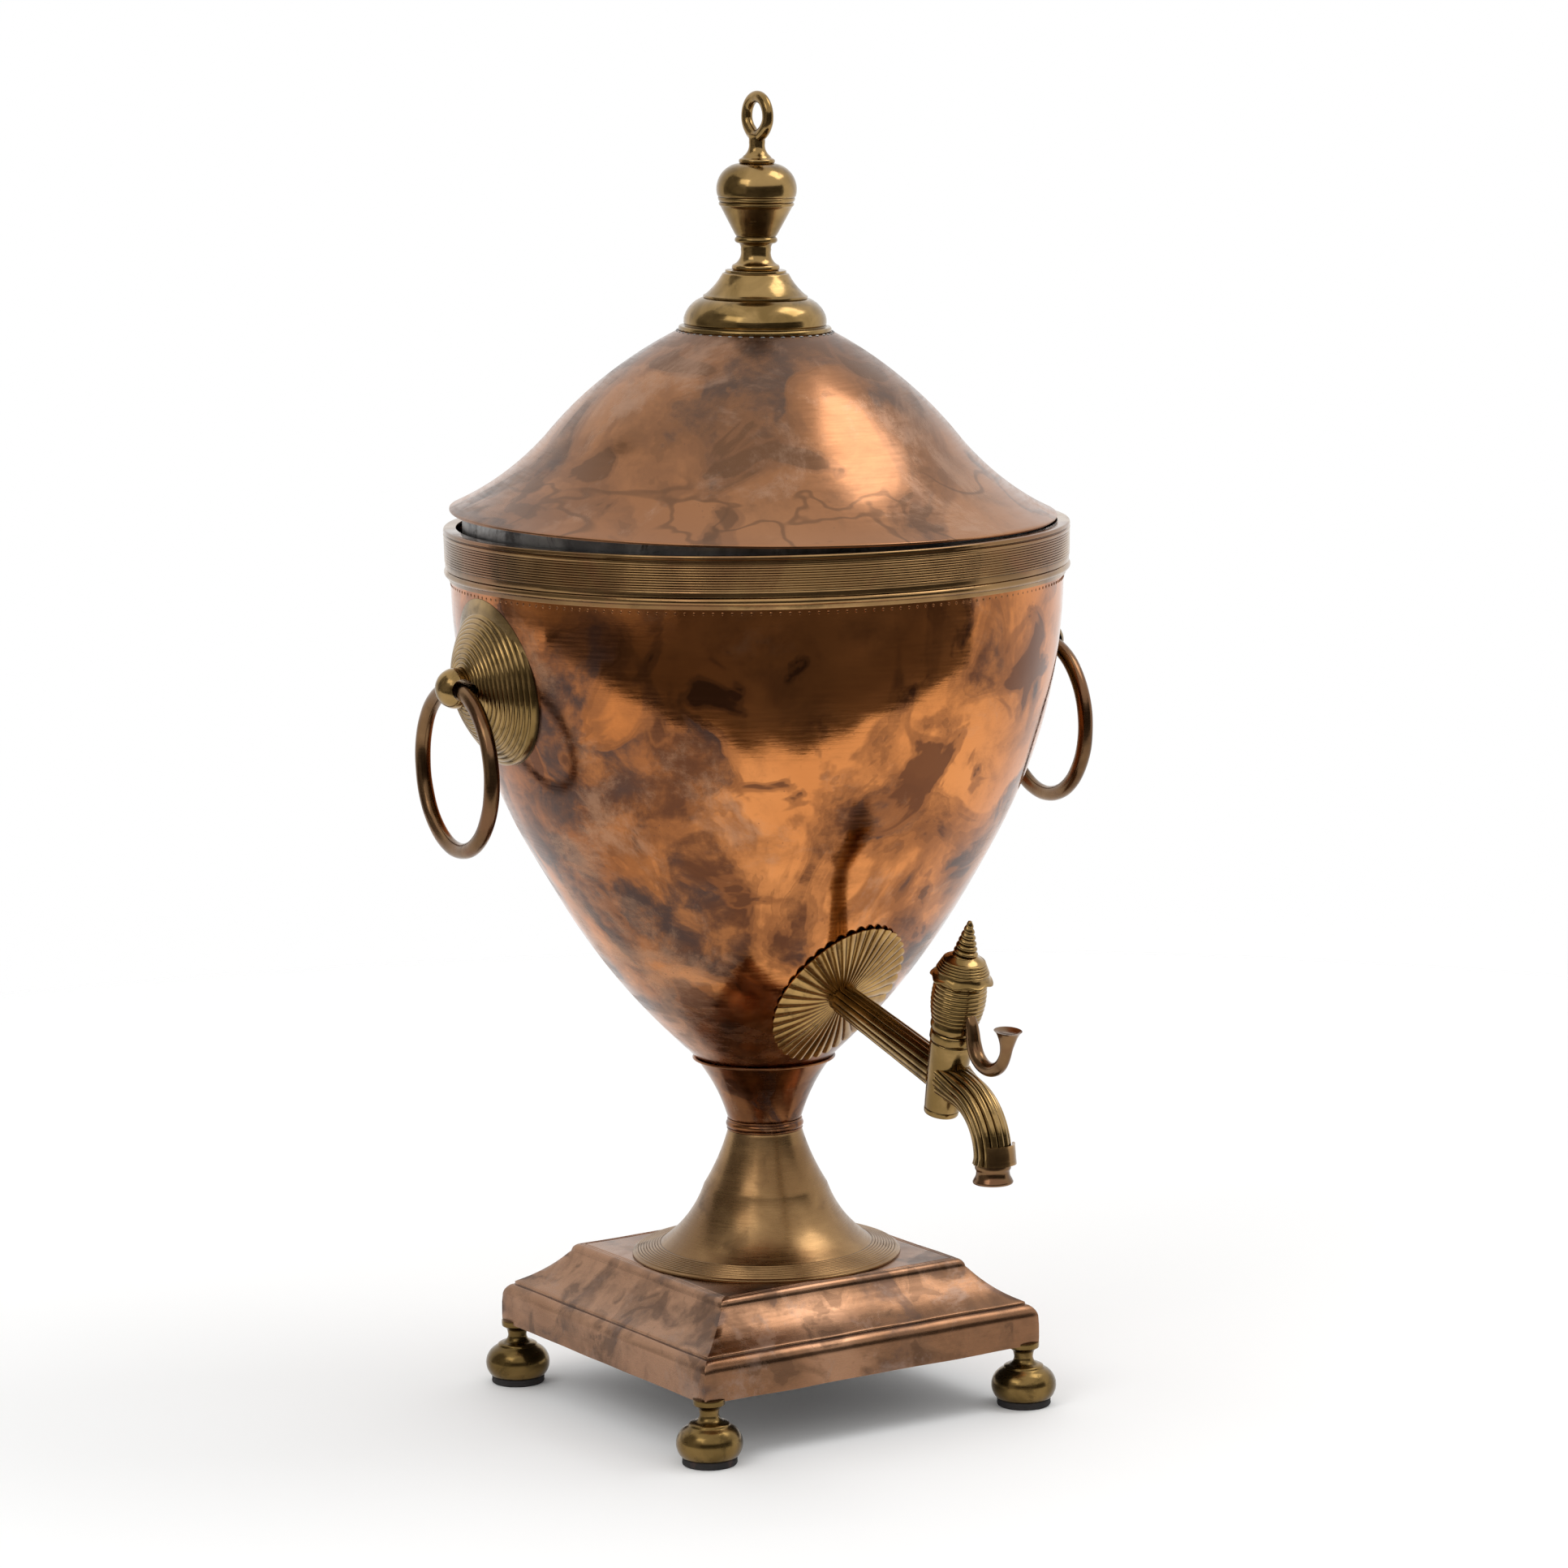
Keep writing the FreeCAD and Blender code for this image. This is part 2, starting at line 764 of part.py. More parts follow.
# Bowl
def bowl_curve(grow):
    """The bowl's outside from rim to floor, moved outward by a distance square to it."""

    def moved(radius, height, slope):
        return radius + grow * cosine(slope), height - grow * sine(slope)

    belly = moved(S.bowl_belly_radius, S.bowl_belly_height, S.bowl_belly_slope)
    waist = moved(S.bowl_waist_radius, S.bowl_waist_height, S.bowl_waist_slope)
    flank = moved(S.bowl_flank_radius, S.bowl_flank_height, S.bowl_flank_slope)
    lower = moved(S.bowl_lower_radius, S.bowl_lower_height, S.bowl_lower_slope)
    floor = moved(S.bowl_floor_radius, S.bowl_floor_height, S.bowl_floor_slope)
    return [(S.bowl_top_radius + grow, S.bowl_straight_height), (*belly, *waist), flank, (*lower, *floor)]


def bowl_form(name, grow):
    """The bowl as a filled solid, used to fit pieces to its curved wall."""
    return turned(
        name,
        (0, S.bowl_floor_height - grow),
        (0, S.bowl_top_height),
        (S.bowl_top_radius + grow, S.bowl_top_height),
        *bowl_curve(grow),
        (S.bowl_floor_radius, S.bowl_floor_height - grow),
    )


def bowl():
    """Raised copper bowl with holes for the two boss tails and the tap's spigot."""
    sheet = S.bowl_sheet
    outside = bowl_curve(as_size(0))
    inside = bowl_curve(-sheet)
    floor = S.bowl_floor_height + sheet
    top_inner, (belly_r, belly_h, waist_r, waist_h), flank, (low_r, low_h, floor_r, floor_h) = inside
    shell = turned(
        "bowl_shell",
        (0, S.bowl_floor_height),
        (0, floor),
        (floor_r, floor),
        (low_r, low_h, *flank),
        (waist_r, waist_h),
        (belly_r, belly_h, *top_inner),
        (S.bowl_top_radius - sheet, S.bowl_top_height),
        (S.bowl_top_radius, S.bowl_top_height),
        *outside,
    )
    drills = []
    for side, spot in handle_spots().items():
        drill = cylinder("bowl_drill_" + side, S.boss_tail_radius + S.rest_gap, 4 * S.boss_tail_length)
        drill.Placement = spot.multiply(Placement(Vector(0, 0, -2 * S.boss_tail_length.number), Rotation()))
        drills.append(drill)
    drill = cylinder("bowl_drill_tap", S.spigot_radius + S.rest_gap, S.socket_radius * 4)
    drill.Placement = pipe_frame().multiply(Placement(Vector(0, 0, S.tap_drill_start.number), Rotation()))
    drills.append(drill)
    return cut("bowl", shell, joined("bowl_drills", drills))


def rim_band():
    """Reeded brass rim, turned in over the bowl's edge at the top."""
    inner = S.bowl_top_radius + S.solder_gap
    groove = S.rim_radius - S.rim_groove_depth
    reed_low = S.rim_radius - S.rim_reed_depth
    reeds = []
    for index in range(int(S.rim_reed_count.number)):
        top = S.rim_reed_top - index * S.rim_reed_pitch
        reeds += [(reed_low, top - S.rim_reed_pitch / 8), (S.rim_radius, top - S.rim_reed_pitch / 2),
                  (reed_low, top - S.rim_reed_pitch)]
    torus_mid = (S.rim_torus_top + S.rim_torus_bottom) / 2
    return turned(
        "rim_band",
        (S.rim_lip_radius, S.bowl_top_height + S.solder_gap),
        (S.rim_lip_radius, S.rim_top_height),
        (S.rim_radius - S.rim_round, S.rim_top_height),
        (S.rim_radius, S.rim_top_height - S.rim_round),
        (S.rim_radius, S.rim_groove_height),
        (groove, S.rim_groove_height - S.rim_groove_width / 2),
        (S.rim_radius, S.rim_groove_height - S.rim_groove_width),
        (S.rim_radius, S.rim_reed_top),
        *reeds,
        (S.rim_strip_radius, S.rim_strip_height),
        (S.rim_strip_radius, S.rim_torus_top),
        (S.rim_torus_inner, S.rim_torus_top),
        (S.rim_radius, torus_mid, S.rim_torus_inner, S.rim_torus_bottom),
        (S.rim_apron_radius, S.rim_bottom_height),
        (inner, S.rim_bottom_height),
        (inner, S.bowl_top_height + S.solder_gap),
    )


# Handles
def wall_radius(height):
    """Radius of the bowl's upper wall at a height, on its arc from rim to waist."""
    rim = Vector(S.bowl_top_radius.number, S.bowl_straight_height.number, 0)
    belly = Vector(S.bowl_belly_radius.number, S.bowl_belly_height.number, 0)
    waist = Vector(S.bowl_waist_radius.number, S.bowl_waist_height.number, 0)
    circle = Part.Arc(rim, belly, waist).toShape().Curve
    rise = height - circle.Center.y
    return circle.Center.x + (circle.Radius**2 - rise**2) ** 0.5


def handle_spots():
    """Where each boss stands: Z points out of the bowl, X points up along the wall."""
    spots = {}
    reach = wall_radius(S.boss_height.number) - S.boss_sink.number
    for side, facing in (("left", 180.0), ("right", 0.0)):
        turn = Rotation(UP, facing + S.handle_turn.number)
        tip = Rotation(Vector(0, 1, 0), 90 + S.boss_tilt.number)
        out = turn.multVec(Vector(reach, 0, S.boss_height.number))
        spots[side] = Placement(out, turn.multiply(tip))
    return spots


def boss_profile(name):
    """Beehive of stepped rings that ends in a round nose."""
    rings = []
    count = int(S.boss_ring_count.number)
    width = (S.boss_radius - S.boss_root_radius) / S.boss_ring_count
    for index in range(count):
        outer = S.boss_radius - index * width
        low = S.boss_depth * (1 - (1 - index / count) ** 1.6)
        high = S.boss_depth * (1 - (1 - (index + 1) / count) ** 1.6)
        rings += [(outer, low + S.boss_ring_step), (outer - width, high)]
    nose_top = S.nose_centre + S.nose_radius
    tail = S.boss_tail_length
    return turned(
        name,
        (0, -tail),
        (S.boss_tail_radius, -tail),
        (S.boss_tail_radius, -S.boss_skirt),
        (S.boss_radius, -S.boss_skirt),
        *rings,
        (S.nose_radius, S.nose_centre, 0, nose_top),
    )


def handle_boss(side, spot):
    blank = boss_profile("boss_blank_" + side)
    blank.Placement = spot
    wall = bowl_form("boss_wall_" + side, S.solder_gap)
    tail = cylinder("boss_tail_" + side, S.boss_tail_radius, S.boss_tail_length + S.boss_skirt)
    tail.Placement = spot.multiply(Placement(Vector(0, 0, -S.boss_tail_length.number), Rotation()))
    seated = cut("boss_seated_" + side, blank, wall)
    with_tail = joined("boss_with_tail_" + side, [seated, tail])
    eye = cylinder("boss_eye_" + side, S.eye_radius, 4 * S.nose_radius)
    eye_start = Vector(0, 2 * S.nose_radius.number, S.eye_centre.number)
    across = Placement(eye_start, Rotation(Vector(1, 0, 0), 90))
    eye.Placement = spot.multiply(across)
    return cut("handle_boss_" + side, with_tail, eye)


def ring_centre(spot):
    """The ring hangs with its wire resting in the bottom of the eye."""
    eye = spot.multVec(Vector(0, 0, S.eye_centre.number))
    return eye - Vector(0, 0, S.ring_drop.number + S.ring_mean_radius.number)


def ring_handle(side, spot):
    ring = document.addObject("Part::Torus", "ring_" + side)
    ring.Label = "ring_" + side
    ring.Radius1 = S.ring_mean_radius.number
    ring.Radius2 = S.ring_wire_radius.number
    bind(ring, "Radius1", S.ring_mean_radius)
    bind(ring, "Radius2", S.ring_wire_radius)
    turn = Rotation(UP, S.handle_turn.number)
    ring.Placement = Placement(ring_centre(spot), turn.multiply(Rotation(Vector(0, 1, 0), 90)))
    return ring


def handles():
    pieces = []
    for side, spot in handle_spots().items():
        pieces.append(handle_boss(side, spot))
        pieces.append(ring_handle(side, spot))
    low = -S.boss_nut_seat - S.boss_nut_height
    small = nut("boss_nut", S.boss_nut_width, S.boss_nut_height, low, S.boss_tail_radius + S.fit_gap)
    pieces.append(copies("boss_nuts", small, handle_spots().values()))
    return pieces


# Heater
def heater_sleeve():
    """Closed tube that keeps the hot iron dry in the middle of the bowl."""
    base = S.bowl_floor_height + S.bowl_sheet + S.solder_gap
    top = base + S.sleeve_height
    inner = S.sleeve_radius - S.sleeve_wall
    bead = S.sleeve_radius + S.sleeve_bead
    return turned(
        "heater_sleeve",
        (0, base),
        (S.sleeve_radius, base),
        (S.sleeve_radius, top - 2 * S.sleeve_bead),
        (bead, top - S.sleeve_bead, S.sleeve_radius, top),
        (inner, top),
        (inner, base + S.sleeve_wall),
        (0, base + S.sleeve_wall),
    )


def sleeve_floor():
    return S.bowl_floor_height + S.bowl_sheet + S.solder_gap + S.sleeve_wall + S.fit_gap


def heater():
    """Cast iron billet with a wrought eye screwed into its top."""
    base = sleeve_floor()
    top = base + S.iron_height
    inner = S.iron_radius - S.iron_chamfer
    hole = S.heater_eye_wire + S.fit_gap
    iron = turned(
        "heater_iron",
        (0, base),
        (inner, base),
        (S.iron_radius, base + S.iron_chamfer),
        (S.iron_radius, top - S.iron_chamfer),
        (inner, top),
        (hole, top),
        (hole, top - S.heater_tail_length - S.rest_gap),
        (0, top - S.heater_tail_length - S.rest_gap),
    )
    loop = document.addObject("Part::Torus", "heater_loop")
    loop.Radius1 = S.heater_eye_radius.number
    loop.Radius2 = S.heater_eye_wire.number
    bind(loop, "Radius1", S.heater_eye_radius)
    bind(loop, "Radius2", S.heater_eye_wire)
    loop_height = number(top + S.heater_eye_radius + 2 * S.heater_eye_wire)
    loop.Placement = Placement(Vector(0, 0, loop_height), Rotation(Vector(1, 0, 0), 90))
    tail = cylinder("heater_tail", S.heater_eye_wire, S.heater_tail_length + 2 * S.heater_eye_wire,
                    top - S.heater_tail_length)
    return [iron, joined("heater_eye", [loop, tail])]


def sleeve_cover():
    base = S.bowl_floor_height + S.bowl_sheet + S.solder_gap + S.sleeve_height + S.rest_gap
    top = base + S.cover_thickness
    skirt = base - S.cover_skirt_depth
    inner = S.cover_skirt_radius - S.cover_skirt_sheet
    hole = S.cover_tail_radius + S.fit_gap
    plate = turned(
        "sleeve_cover_plate",
        (hole, base),
        (inner, base),
        (inner, skirt),
        (S.cover_skirt_radius, skirt),
        (S.cover_skirt_radius, base),
        (S.cover_radius, base),
        (S.cover_radius, top),
        (hole, top),
    )
    foot_top = top + S.fit_gap
    waist = S.cover_knob_radius / 2
    middle = foot_top + S.cover_knob_height * 0.65
    knob = turned(
        "sleeve_cover_knob",
        (0, base - S.cover_tail_radius),
        (S.cover_tail_radius, base - S.cover_tail_radius),
        (S.cover_tail_radius, foot_top),
        (waist * 1.5, foot_top),
        (waist, foot_top + S.cover_knob_height * 0.3),
        (waist * 1.6, foot_top + S.cover_knob_height * 0.4, S.cover_knob_radius, middle),
        (
            waist * 1.6,
            foot_top + S.cover_knob_height * 0.9,
            S.cover_knob_flat,
            foot_top + S.cover_knob_height,
        ),
        (0, foot_top + S.cover_knob_height),
    )
    return [plate, knob]


# Tap
def tap_frame():
    """The tap's own frame: plug upward on Z, pipe towards the bowl on Y."""
    return Placement(Vector(0, -S.tap_reach.number, S.tap_height.number),
                     Rotation(Vector(1, 0, 0), S.tap_tilt.number))


def pipe_frame():
    """The same place with Z along the pipe, towards the bowl."""
    return tap_frame().multiply(Placement(Vector(), Rotation(Vector(1, 0, 0), -90)))


def barrel_radius(height):
    """Radius of the tapering barrel at a height in the tap's frame."""
    span = S.barrel_bottom + S.barrel_top
    growth = S.barrel_high_radius - S.barrel_low_radius
    return S.barrel_low_radius + growth * (height + S.barrel_bottom) / span


def plug_radius(height):
    """Radius of the plug's taper, which the barrel's seat repeats with a running fit."""
    span = S.barrel_bottom + S.barrel_top
    return S.plug_low_radius + (S.plug_high_radius - S.plug_low_radius) * (height + S.barrel_bottom) / span


def barrel_outline(name, grow):
    band = S.barrel_top - S.barrel_band_height
    top_radius = barrel_radius(S.barrel_top) + grow
    return turned(
        name,
        (0, -S.barrel_bottom - grow),
        (barrel_radius(-S.barrel_bottom) + grow, -S.barrel_bottom - grow),
        (barrel_radius(band) + grow, band),
        (barrel_radius(band) + grow + S.barrel_band_step, band + S.barrel_band_step),
        (top_radius, S.barrel_top - S.barrel_band_step),
        (top_radius - S.barrel_band_step, S.barrel_top),
        (0, S.barrel_top),
    )


def tap_barrel():
    """Tapered barrel with its tapered seat, the cross bore and the recess for the washer."""
    blank = barrel_outline("barrel_blank", as_size(0))
    recess_top = S.barrel_recess_depth - S.barrel_bottom
    seat = turned(
        "barrel_seat",
        (0, -S.barrel_bottom - OVERCUT),
        (S.barrel_recess_radius, -S.barrel_bottom - OVERCUT),
        (S.barrel_recess_radius, recess_top),
        (plug_radius(recess_top) + S.fit_gap, recess_top),
        (plug_radius(S.barrel_top + OVERCUT) + S.fit_gap, S.barrel_top + OVERCUT),
        (0, S.barrel_top + OVERCUT),
    )
    bore = cylinder("barrel_bore", S.shank_bore_radius, 4 * S.barrel_high_radius)
    bore.Placement = Placement(Vector(0, 2 * S.barrel_high_radius.number, 0), Rotation(Vector(1, 0, 0), 90))
    barrel = cut("tap_barrel", blank, joined("barrel_tools", [seat, bore]))
    barrel.Placement = tap_frame()
    return barrel


def fluted_section(radius, height=0.0):
    """A ring of round reeds as one closed wire."""
    count = int(S.flute_count.number)
    step = 2 * math.pi / count
    valley = radius - S.flute_depth.number

    def polar(reach, angle):
        return Vector(reach * math.cos(angle), reach * math.sin(angle), height)

    arcs = [
        Part.Arc(
            polar(valley, i * step),
            polar(radius, (i + 0.5) * step),
            polar(valley, (i + 1) * step),
        ).toShape()
        for i in range(count)
    ]
    return Part.Wire(arcs)


def tap_shank():
    """Fluted pipe that tapers to the bowl, with a plain threaded tail through the wall."""
    start = S.barrel_low_radius.number / 2
    end = S.shank_flute_end.number
    near = fluted_section(S.shank_near_radius.number, start)
    far = fluted_section(S.shank_far_radius.number, end)
    fluted = Part.makeLoft([near, far], True, True)
    spigot = Part.makeCylinder(S.spigot_radius.number, S.spigot_length.number - end, Vector(0, 0, end))
    bore = Part.makeCylinder(S.shank_bore_radius.number, S.spigot_length.number + OVERCUT)
    barrel = barrel_outline("barrel_envelope", S.fit_gap)
    document.recompute()
    turned_barrel = barrel.Shape.transformed(Placement(Vector(), Rotation(Vector(1, 0, 0), 90)).Matrix)
    shape = fluted.fuse(spigot).cut(bore).cut(turned_barrel).removeSplitter()
    return held("tap_shank", shape.Solids[0], pipe_frame())


def tap_rosette():
    """Thin oval pleated plate that hugs the bowl round the pipe, with a scalloped edge."""
    count = int(S.rosette_lobe_count.number)
    step = 2 * math.pi / count
    reach = S.rosette_half_height.number

    def edge(out, angle):
        wide = S.rosette_half_width.number + out
        high = S.rosette_half_height.number + out
        return Vector(wide * math.cos(angle), high * math.sin(angle), 0)

    lobes = [
        Part.Arc(edge(0, i * step), edge(S.rosette_lobe.number, (i + 0.5) * step),
                 edge(0, (i + 1) * step)).toShape()
        for i in range(count)
    ]
    depth = 2 * reach
    plate = Part.Face(Part.Wire(lobes)).extrude(Vector(0, 0, depth))
    normal_tip = 90 + S.bowl_lower_slope.number
    height = rosette_height()
    centre = Vector(0, -bowl_wall_reach(), height)
    facing = Placement(centre, Rotation(Vector(1, 0, 0), normal_tip))
    plate.Placement = facing.multiply(Placement(Vector(0, 0, -reach), Rotation()))
    outer = bowl_form("rosette_outside", S.solder_gap + S.rosette_thickness)
    inner = bowl_form("rosette_inside", S.solder_gap)
    crest = bowl_form("rosette_floor", S.solder_gap + S.rosette_thickness - S.rosette_groove_depth)
    document.recompute()
    width = S.rosette_groove_width.number
    grooves = []
    for i in range(count):
        groove_start = Vector(S.shank_near_radius.number + 2, -width / 2, -reach)
        groove = Part.makeBox(reach * 2, width, depth, groove_start)
        end = edge(0, i * step)
        groove.rotate(Vector(), UP, math.degrees(math.atan2(end.y, end.x)))
        groove.Placement = facing.multiply(groove.Placement)
        grooves.append(groove.cut(crest.Shape))
    hole = Part.makeCylinder(S.spigot_radius.number + S.rest_gap.number, depth, Vector(0, 0, reach))
    hole.Placement = pipe_frame()
    shape = plate.common(outer.Shape).cut(inner.Shape).cut(hole).cut(grooves)
    return held("tap_rosette", shape.Solids[0])


def bowl_wall_reach():
    """Distance from the bowl's axis to its wall where the pipe goes through."""
    return S.tap_reach.number - S.shank_length.number * math.cos(math.radians(S.tap_tilt.number))


def rosette_height():
    return S.tap_height.number + S.shank_length.number * math.sin(math.radians(S.tap_tilt.number))


def tap_inside_the_bowl():
    """Socket brazed to the wall, leather washer, back nut and strainer on the pipe's tail."""
    hole = S.spigot_radius + S.fit_gap
    socket_blank = cylinder("socket_blank", S.socket_radius, S.socket_end - S.shank_flute_end + OVERCUT)
    back = Placement(Vector(0, 0, S.shank_flute_end.number - OVERCUT), Rotation())
    socket_blank.Placement = pipe_frame().multiply(back)
    inside = bowl_form("socket_wall", -S.bowl_sheet - S.solder_gap)
    drill = cylinder("socket_drill", hole, 2 * S.socket_end)
    drill.Placement = pipe_frame()
    socket = cut("tap_socket", common("socket_seated", socket_blank, inside), drill)
    nut_base = S.socket_end + S.fit_gap + S.tap_washer_height + S.fit_gap
    leather = washer("tap_washer", S.tap_washer_radius, S.tap_washer_height, S.socket_end + S.fit_gap, hole)
    back_nut = nut("tap_backnut", S.backnut_width, S.backnut_height, nut_base, hole)
    strainer = tap_strainer(nut_base + S.backnut_height + S.rest_gap)
    for piece in (leather, back_nut, strainer):
        piece.Placement = pipe_frame()
    return [socket, leather, back_nut, strainer]


def tap_strainer(base):
    """Perforated cap over the pipe's open end."""
    inner = S.spigot_radius + S.fit_gap
    top = base + S.strainer_depth
    cap = turned(
        "strainer_cap",
        (inner, base),
        (S.strainer_radius, base),
        (S.strainer_radius, top - S.strainer_wall * 2),
        (S.strainer_radius - S.strainer_wall * 2, top),
        (0, top),
        (0, top - S.strainer_wall),
        (inner, top - S.strainer_wall),
    )
    ring = S.strainer_radius.number / 2
    holes = []
    for index in range(int(S.strainer_hole_count.number)):
        hole = cylinder(f"strainer_hole_{index}", S.strainer_hole_radius, 4 * S.strainer_wall)
        turn = Rotation(UP, index * FULL_TURN / S.strainer_hole_count.number)
        hole_start = Vector(ring, 0, number(top - 2 * S.strainer_wall))
        hole.Placement = Placement(turn.multVec(hole_start), Rotation())
        holes.append(hole)
    return cut("tap_strainer", cap, joined("strainer_holes", holes))


def spout_bend():
    """Corner where the bend starts, its centre, its sweep, its end, the collar's foot and the way down."""
    sweep = 90 - S.tap_tilt.number
    corner = Vector(0, -S.spout_straight.number, 0)
    centre = corner - Vector(0, 0, S.spout_bend_radius.number)
    down = Rotation(Vector(1, 0, 0), sweep).multVec(Vector(0, -1, 0))
    end = centre + Rotation(Vector(1, 0, 0), sweep).multVec(corner - centre)
    drop = tap_frame().multVec(end).z - S.spout_foot_height.number
    return corner, centre, sweep, end, end + down * drop, down


def tap_spout():
    """Fluted spout that fans out from the barrel, bends down and ends in a plain collar."""
    corner, centre, sweep, end, foot, down = spout_bend()
    forward = Rotation(Vector(1, 0, 0), 90)
    section = fluted_section(S.spout_radius.number)
    section.Placement = Placement(corner, forward)
    bend = Part.Face(section).revolve(centre, Vector(1, 0, 0), sweep)
    root = fluted_section(S.spout_root_radius.number)
    root_start = Vector(0, -S.barrel_low_radius.number / 2, S.spout_root_rise.number)
    root.Placement = Placement(root_start, forward)
    fan = Part.makeLoft([root, section], True, True)
    last = fluted_section(S.spout_radius.number)
    last.Placement = Placement(end, Rotation(Vector(1, 0, 0), 90 + sweep))
    straight = Part.Face(last).extrude(foot - end - down * S.rest_gap.number)
    collar = Part.makeCylinder(S.spout_collar_radius.number, S.spout_collar_height.number, foot, down * -1)
    bore = S.spout_bore_radius.number
    circle = Part.Wire([Part.Circle(corner, Vector(0, -1, 0), bore).toShape()])
    bent_bore = Part.Face(circle).revolve(centre, Vector(1, 0, 0), sweep)
    entry_length = S.spout_straight.number + OVERCUT
    entry = Part.makeCylinder(bore, entry_length, Vector(0, OVERCUT, 0), Vector(0, -1, 0))
    mouth = Part.makeCylinder(bore, (foot - end).Length + OVERCUT, foot + down * OVERCUT, down * -1)
    barrel = barrel_outline("spout_barrel_envelope", S.fit_gap)
    document.recompute()
    solid = bend.fuse([fan, straight, collar])
    passage = bent_bore.fuse([entry, mouth])
    shape = solid.cut(passage).cut(barrel.Shape)
    return held("tap_spout", shape.Solids[0], tap_frame())


def spout_nozzle():
    """Short flared nozzle below the spout's collar, turned about the vertical."""
    bore = S.spout_bore_radius
    drop = S.nozzle_height
    nozzle = turned(
        "spout_nozzle",
        (bore, -drop),
        (S.nozzle_lip_radius, -drop),
        (S.nozzle_lip_radius, -drop * 0.8),
        (S.nozzle_neck_radius, -drop * 0.45, S.nozzle_neck_radius, -S.solder_gap),
        (bore, -S.solder_gap),
    )
    spot = tap_frame().multVec(spout_bend()[4])
    nozzle.Placement = Placement(spot, Rotation())
    return nozzle


# Tap key
def key_plug():
    """Tapered plug with its cross port, which stands across the pipe when the tap is shut."""
    low = S.barrel_recess_depth - S.barrel_bottom - S.solder_gap
    seat_top = S.barrel_top + S.rest_gap
    tang_top = S.head_top + S.cap_brim_height
    screw = S.key_screw_tail_radius + S.fit_gap
    screw_depth = low + S.key_screw_tail_length + S.rest_gap
    blank = turned(
        "plug_blank",
        (0, screw_depth),
        (screw, screw_depth),
        (screw, low),
        (plug_radius(low), low),
        (plug_radius(seat_top), seat_top),
        (S.plug_tang_radius, seat_top),
        (S.plug_tang_radius, tang_top),
        (0, tang_top),
    )
    port = cylinder("plug_port", S.plug_port_radius, 4 * S.plug_high_radius)
    port.Placement = Placement(Vector(-2 * S.plug_high_radius.number, 0, 0), Rotation(Vector(0, 1, 0), 90))
    plug = cut("key_plug", blank, port)
    plug.Placement = tap_frame()
    return plug


def key_head():
    """Ringed beehive grip, bored for the plug's tang and for the lever."""
    rings = []
    count = int(S.head_ring_count.number)
    pitch = (S.head_top - S.head_bottom) / S.head_ring_count
    for index in range(count):
        share = (index + 1) / count
        bulge = math.sin(math.pi * min(1.0, share * 1.1))
        radius = S.head_low_radius + (S.head_top_radius - S.head_low_radius) * share
        radius = radius + (S.head_mid_radius - S.head_low_radius) * (0.7 * bulge)
        base = S.head_bottom + index * pitch
        rings += [(radius, base + pitch * 0.25), (radius, base + pitch * 0.75),
                  (radius - S.head_ring_depth, base + pitch)]
    bore = S.plug_tang_radius + S.fit_gap
    blank = turned(
        "head_blank",
        (bore, S.head_bottom),
        (S.head_low_radius, S.head_bottom),
        *rings,
        (bore, S.head_top),
    )
    document.recompute()
    shape = blank.Shape.cut(lever_shape(S.lever_radius.number + S.fit_gap.number))
    return held("key_head", shape.Solids[0], tap_frame())


def key_cap():
    """Pagoda cap with a lobed brim and a beaded spire."""
    beads = []
    count = int(S.spire_bead_count.number)
    pitch = (S.spire_top - S.cap_crown_height) / S.spire_bead_count
    for index in range(count):
        base = S.cap_crown_height + index * pitch
        radius = S.cap_crown_radius - (S.cap_crown_radius - S.spire_tip_radius) * (index / count)
        above = S.cap_crown_radius - (S.cap_crown_radius - S.spire_tip_radius) * ((index + 1) / count)
        groove = S.spire_bead_depth * (1 - (index + 1) / count)
        beads += [(radius, base + pitch * 0.4), (above - groove, base + pitch)]
    floor = S.head_top + S.fit_gap
    bore = S.plug_tang_radius + S.fit_gap
    bore_top = S.head_top + S.cap_brim_height + S.fit_gap
    brim = S.cap_brim_radius + S.cap_lobe
    blank = turned(
        "cap_blank",
        (0, bore_top),
        (bore, bore_top),
        (bore, floor),
        (S.head_top_radius, floor),
        (brim, floor - S.cap_brim_drop / 2),
        (brim, floor + S.cap_brim_drop / 2),
        (S.cap_step_radius, floor + S.cap_brim_height),
        (S.cap_step_radius, S.cap_step_height),
        (S.cap_crown_radius, S.cap_crown_height),
        *beads,
        (0, S.spire_top),
    )
    document.recompute()
    lobes = int(S.cap_lobe_count.number)
    step = 2 * math.pi / lobes
    low = S.cap_brim_radius.number

    def polar(radius, angle):
        return Vector(radius * math.cos(angle), radius * math.sin(angle), 0)

    arcs = [
        Part.Arc(polar(low, i * step), polar(low + S.cap_lobe.number, (i + 0.5) * step),
                 polar(low, (i + 1) * step)).toShape()
        for i in range(lobes)
    ]
    edge = Part.Face(Part.Wire(arcs)).extrude(Vector(0, 0, 2 * S.spire_top.number))
    shape = blank.Shape.common(edge)
    return held("key_cap", shape.Solids[0], tap_frame())


def lever_points():
    """Route of the lever's rod in the tap's frame: out of the head, down, round and up."""

    def spot(out, height):
        return Vector(0, -out.number, height.number)

    return (
        spot(S.lever_root_out, S.lever_root_height),
        spot(S.lever_shoulder_out, S.lever_shoulder_height),
        spot(S.lever_drop_out, S.lever_drop_height),
        spot(S.lever_low_out, S.lever_low_height),
        spot(S.lever_rise_out, S.lever_rise_height),
        spot(S.lever_tip_out, S.lever_tip_height),
    )


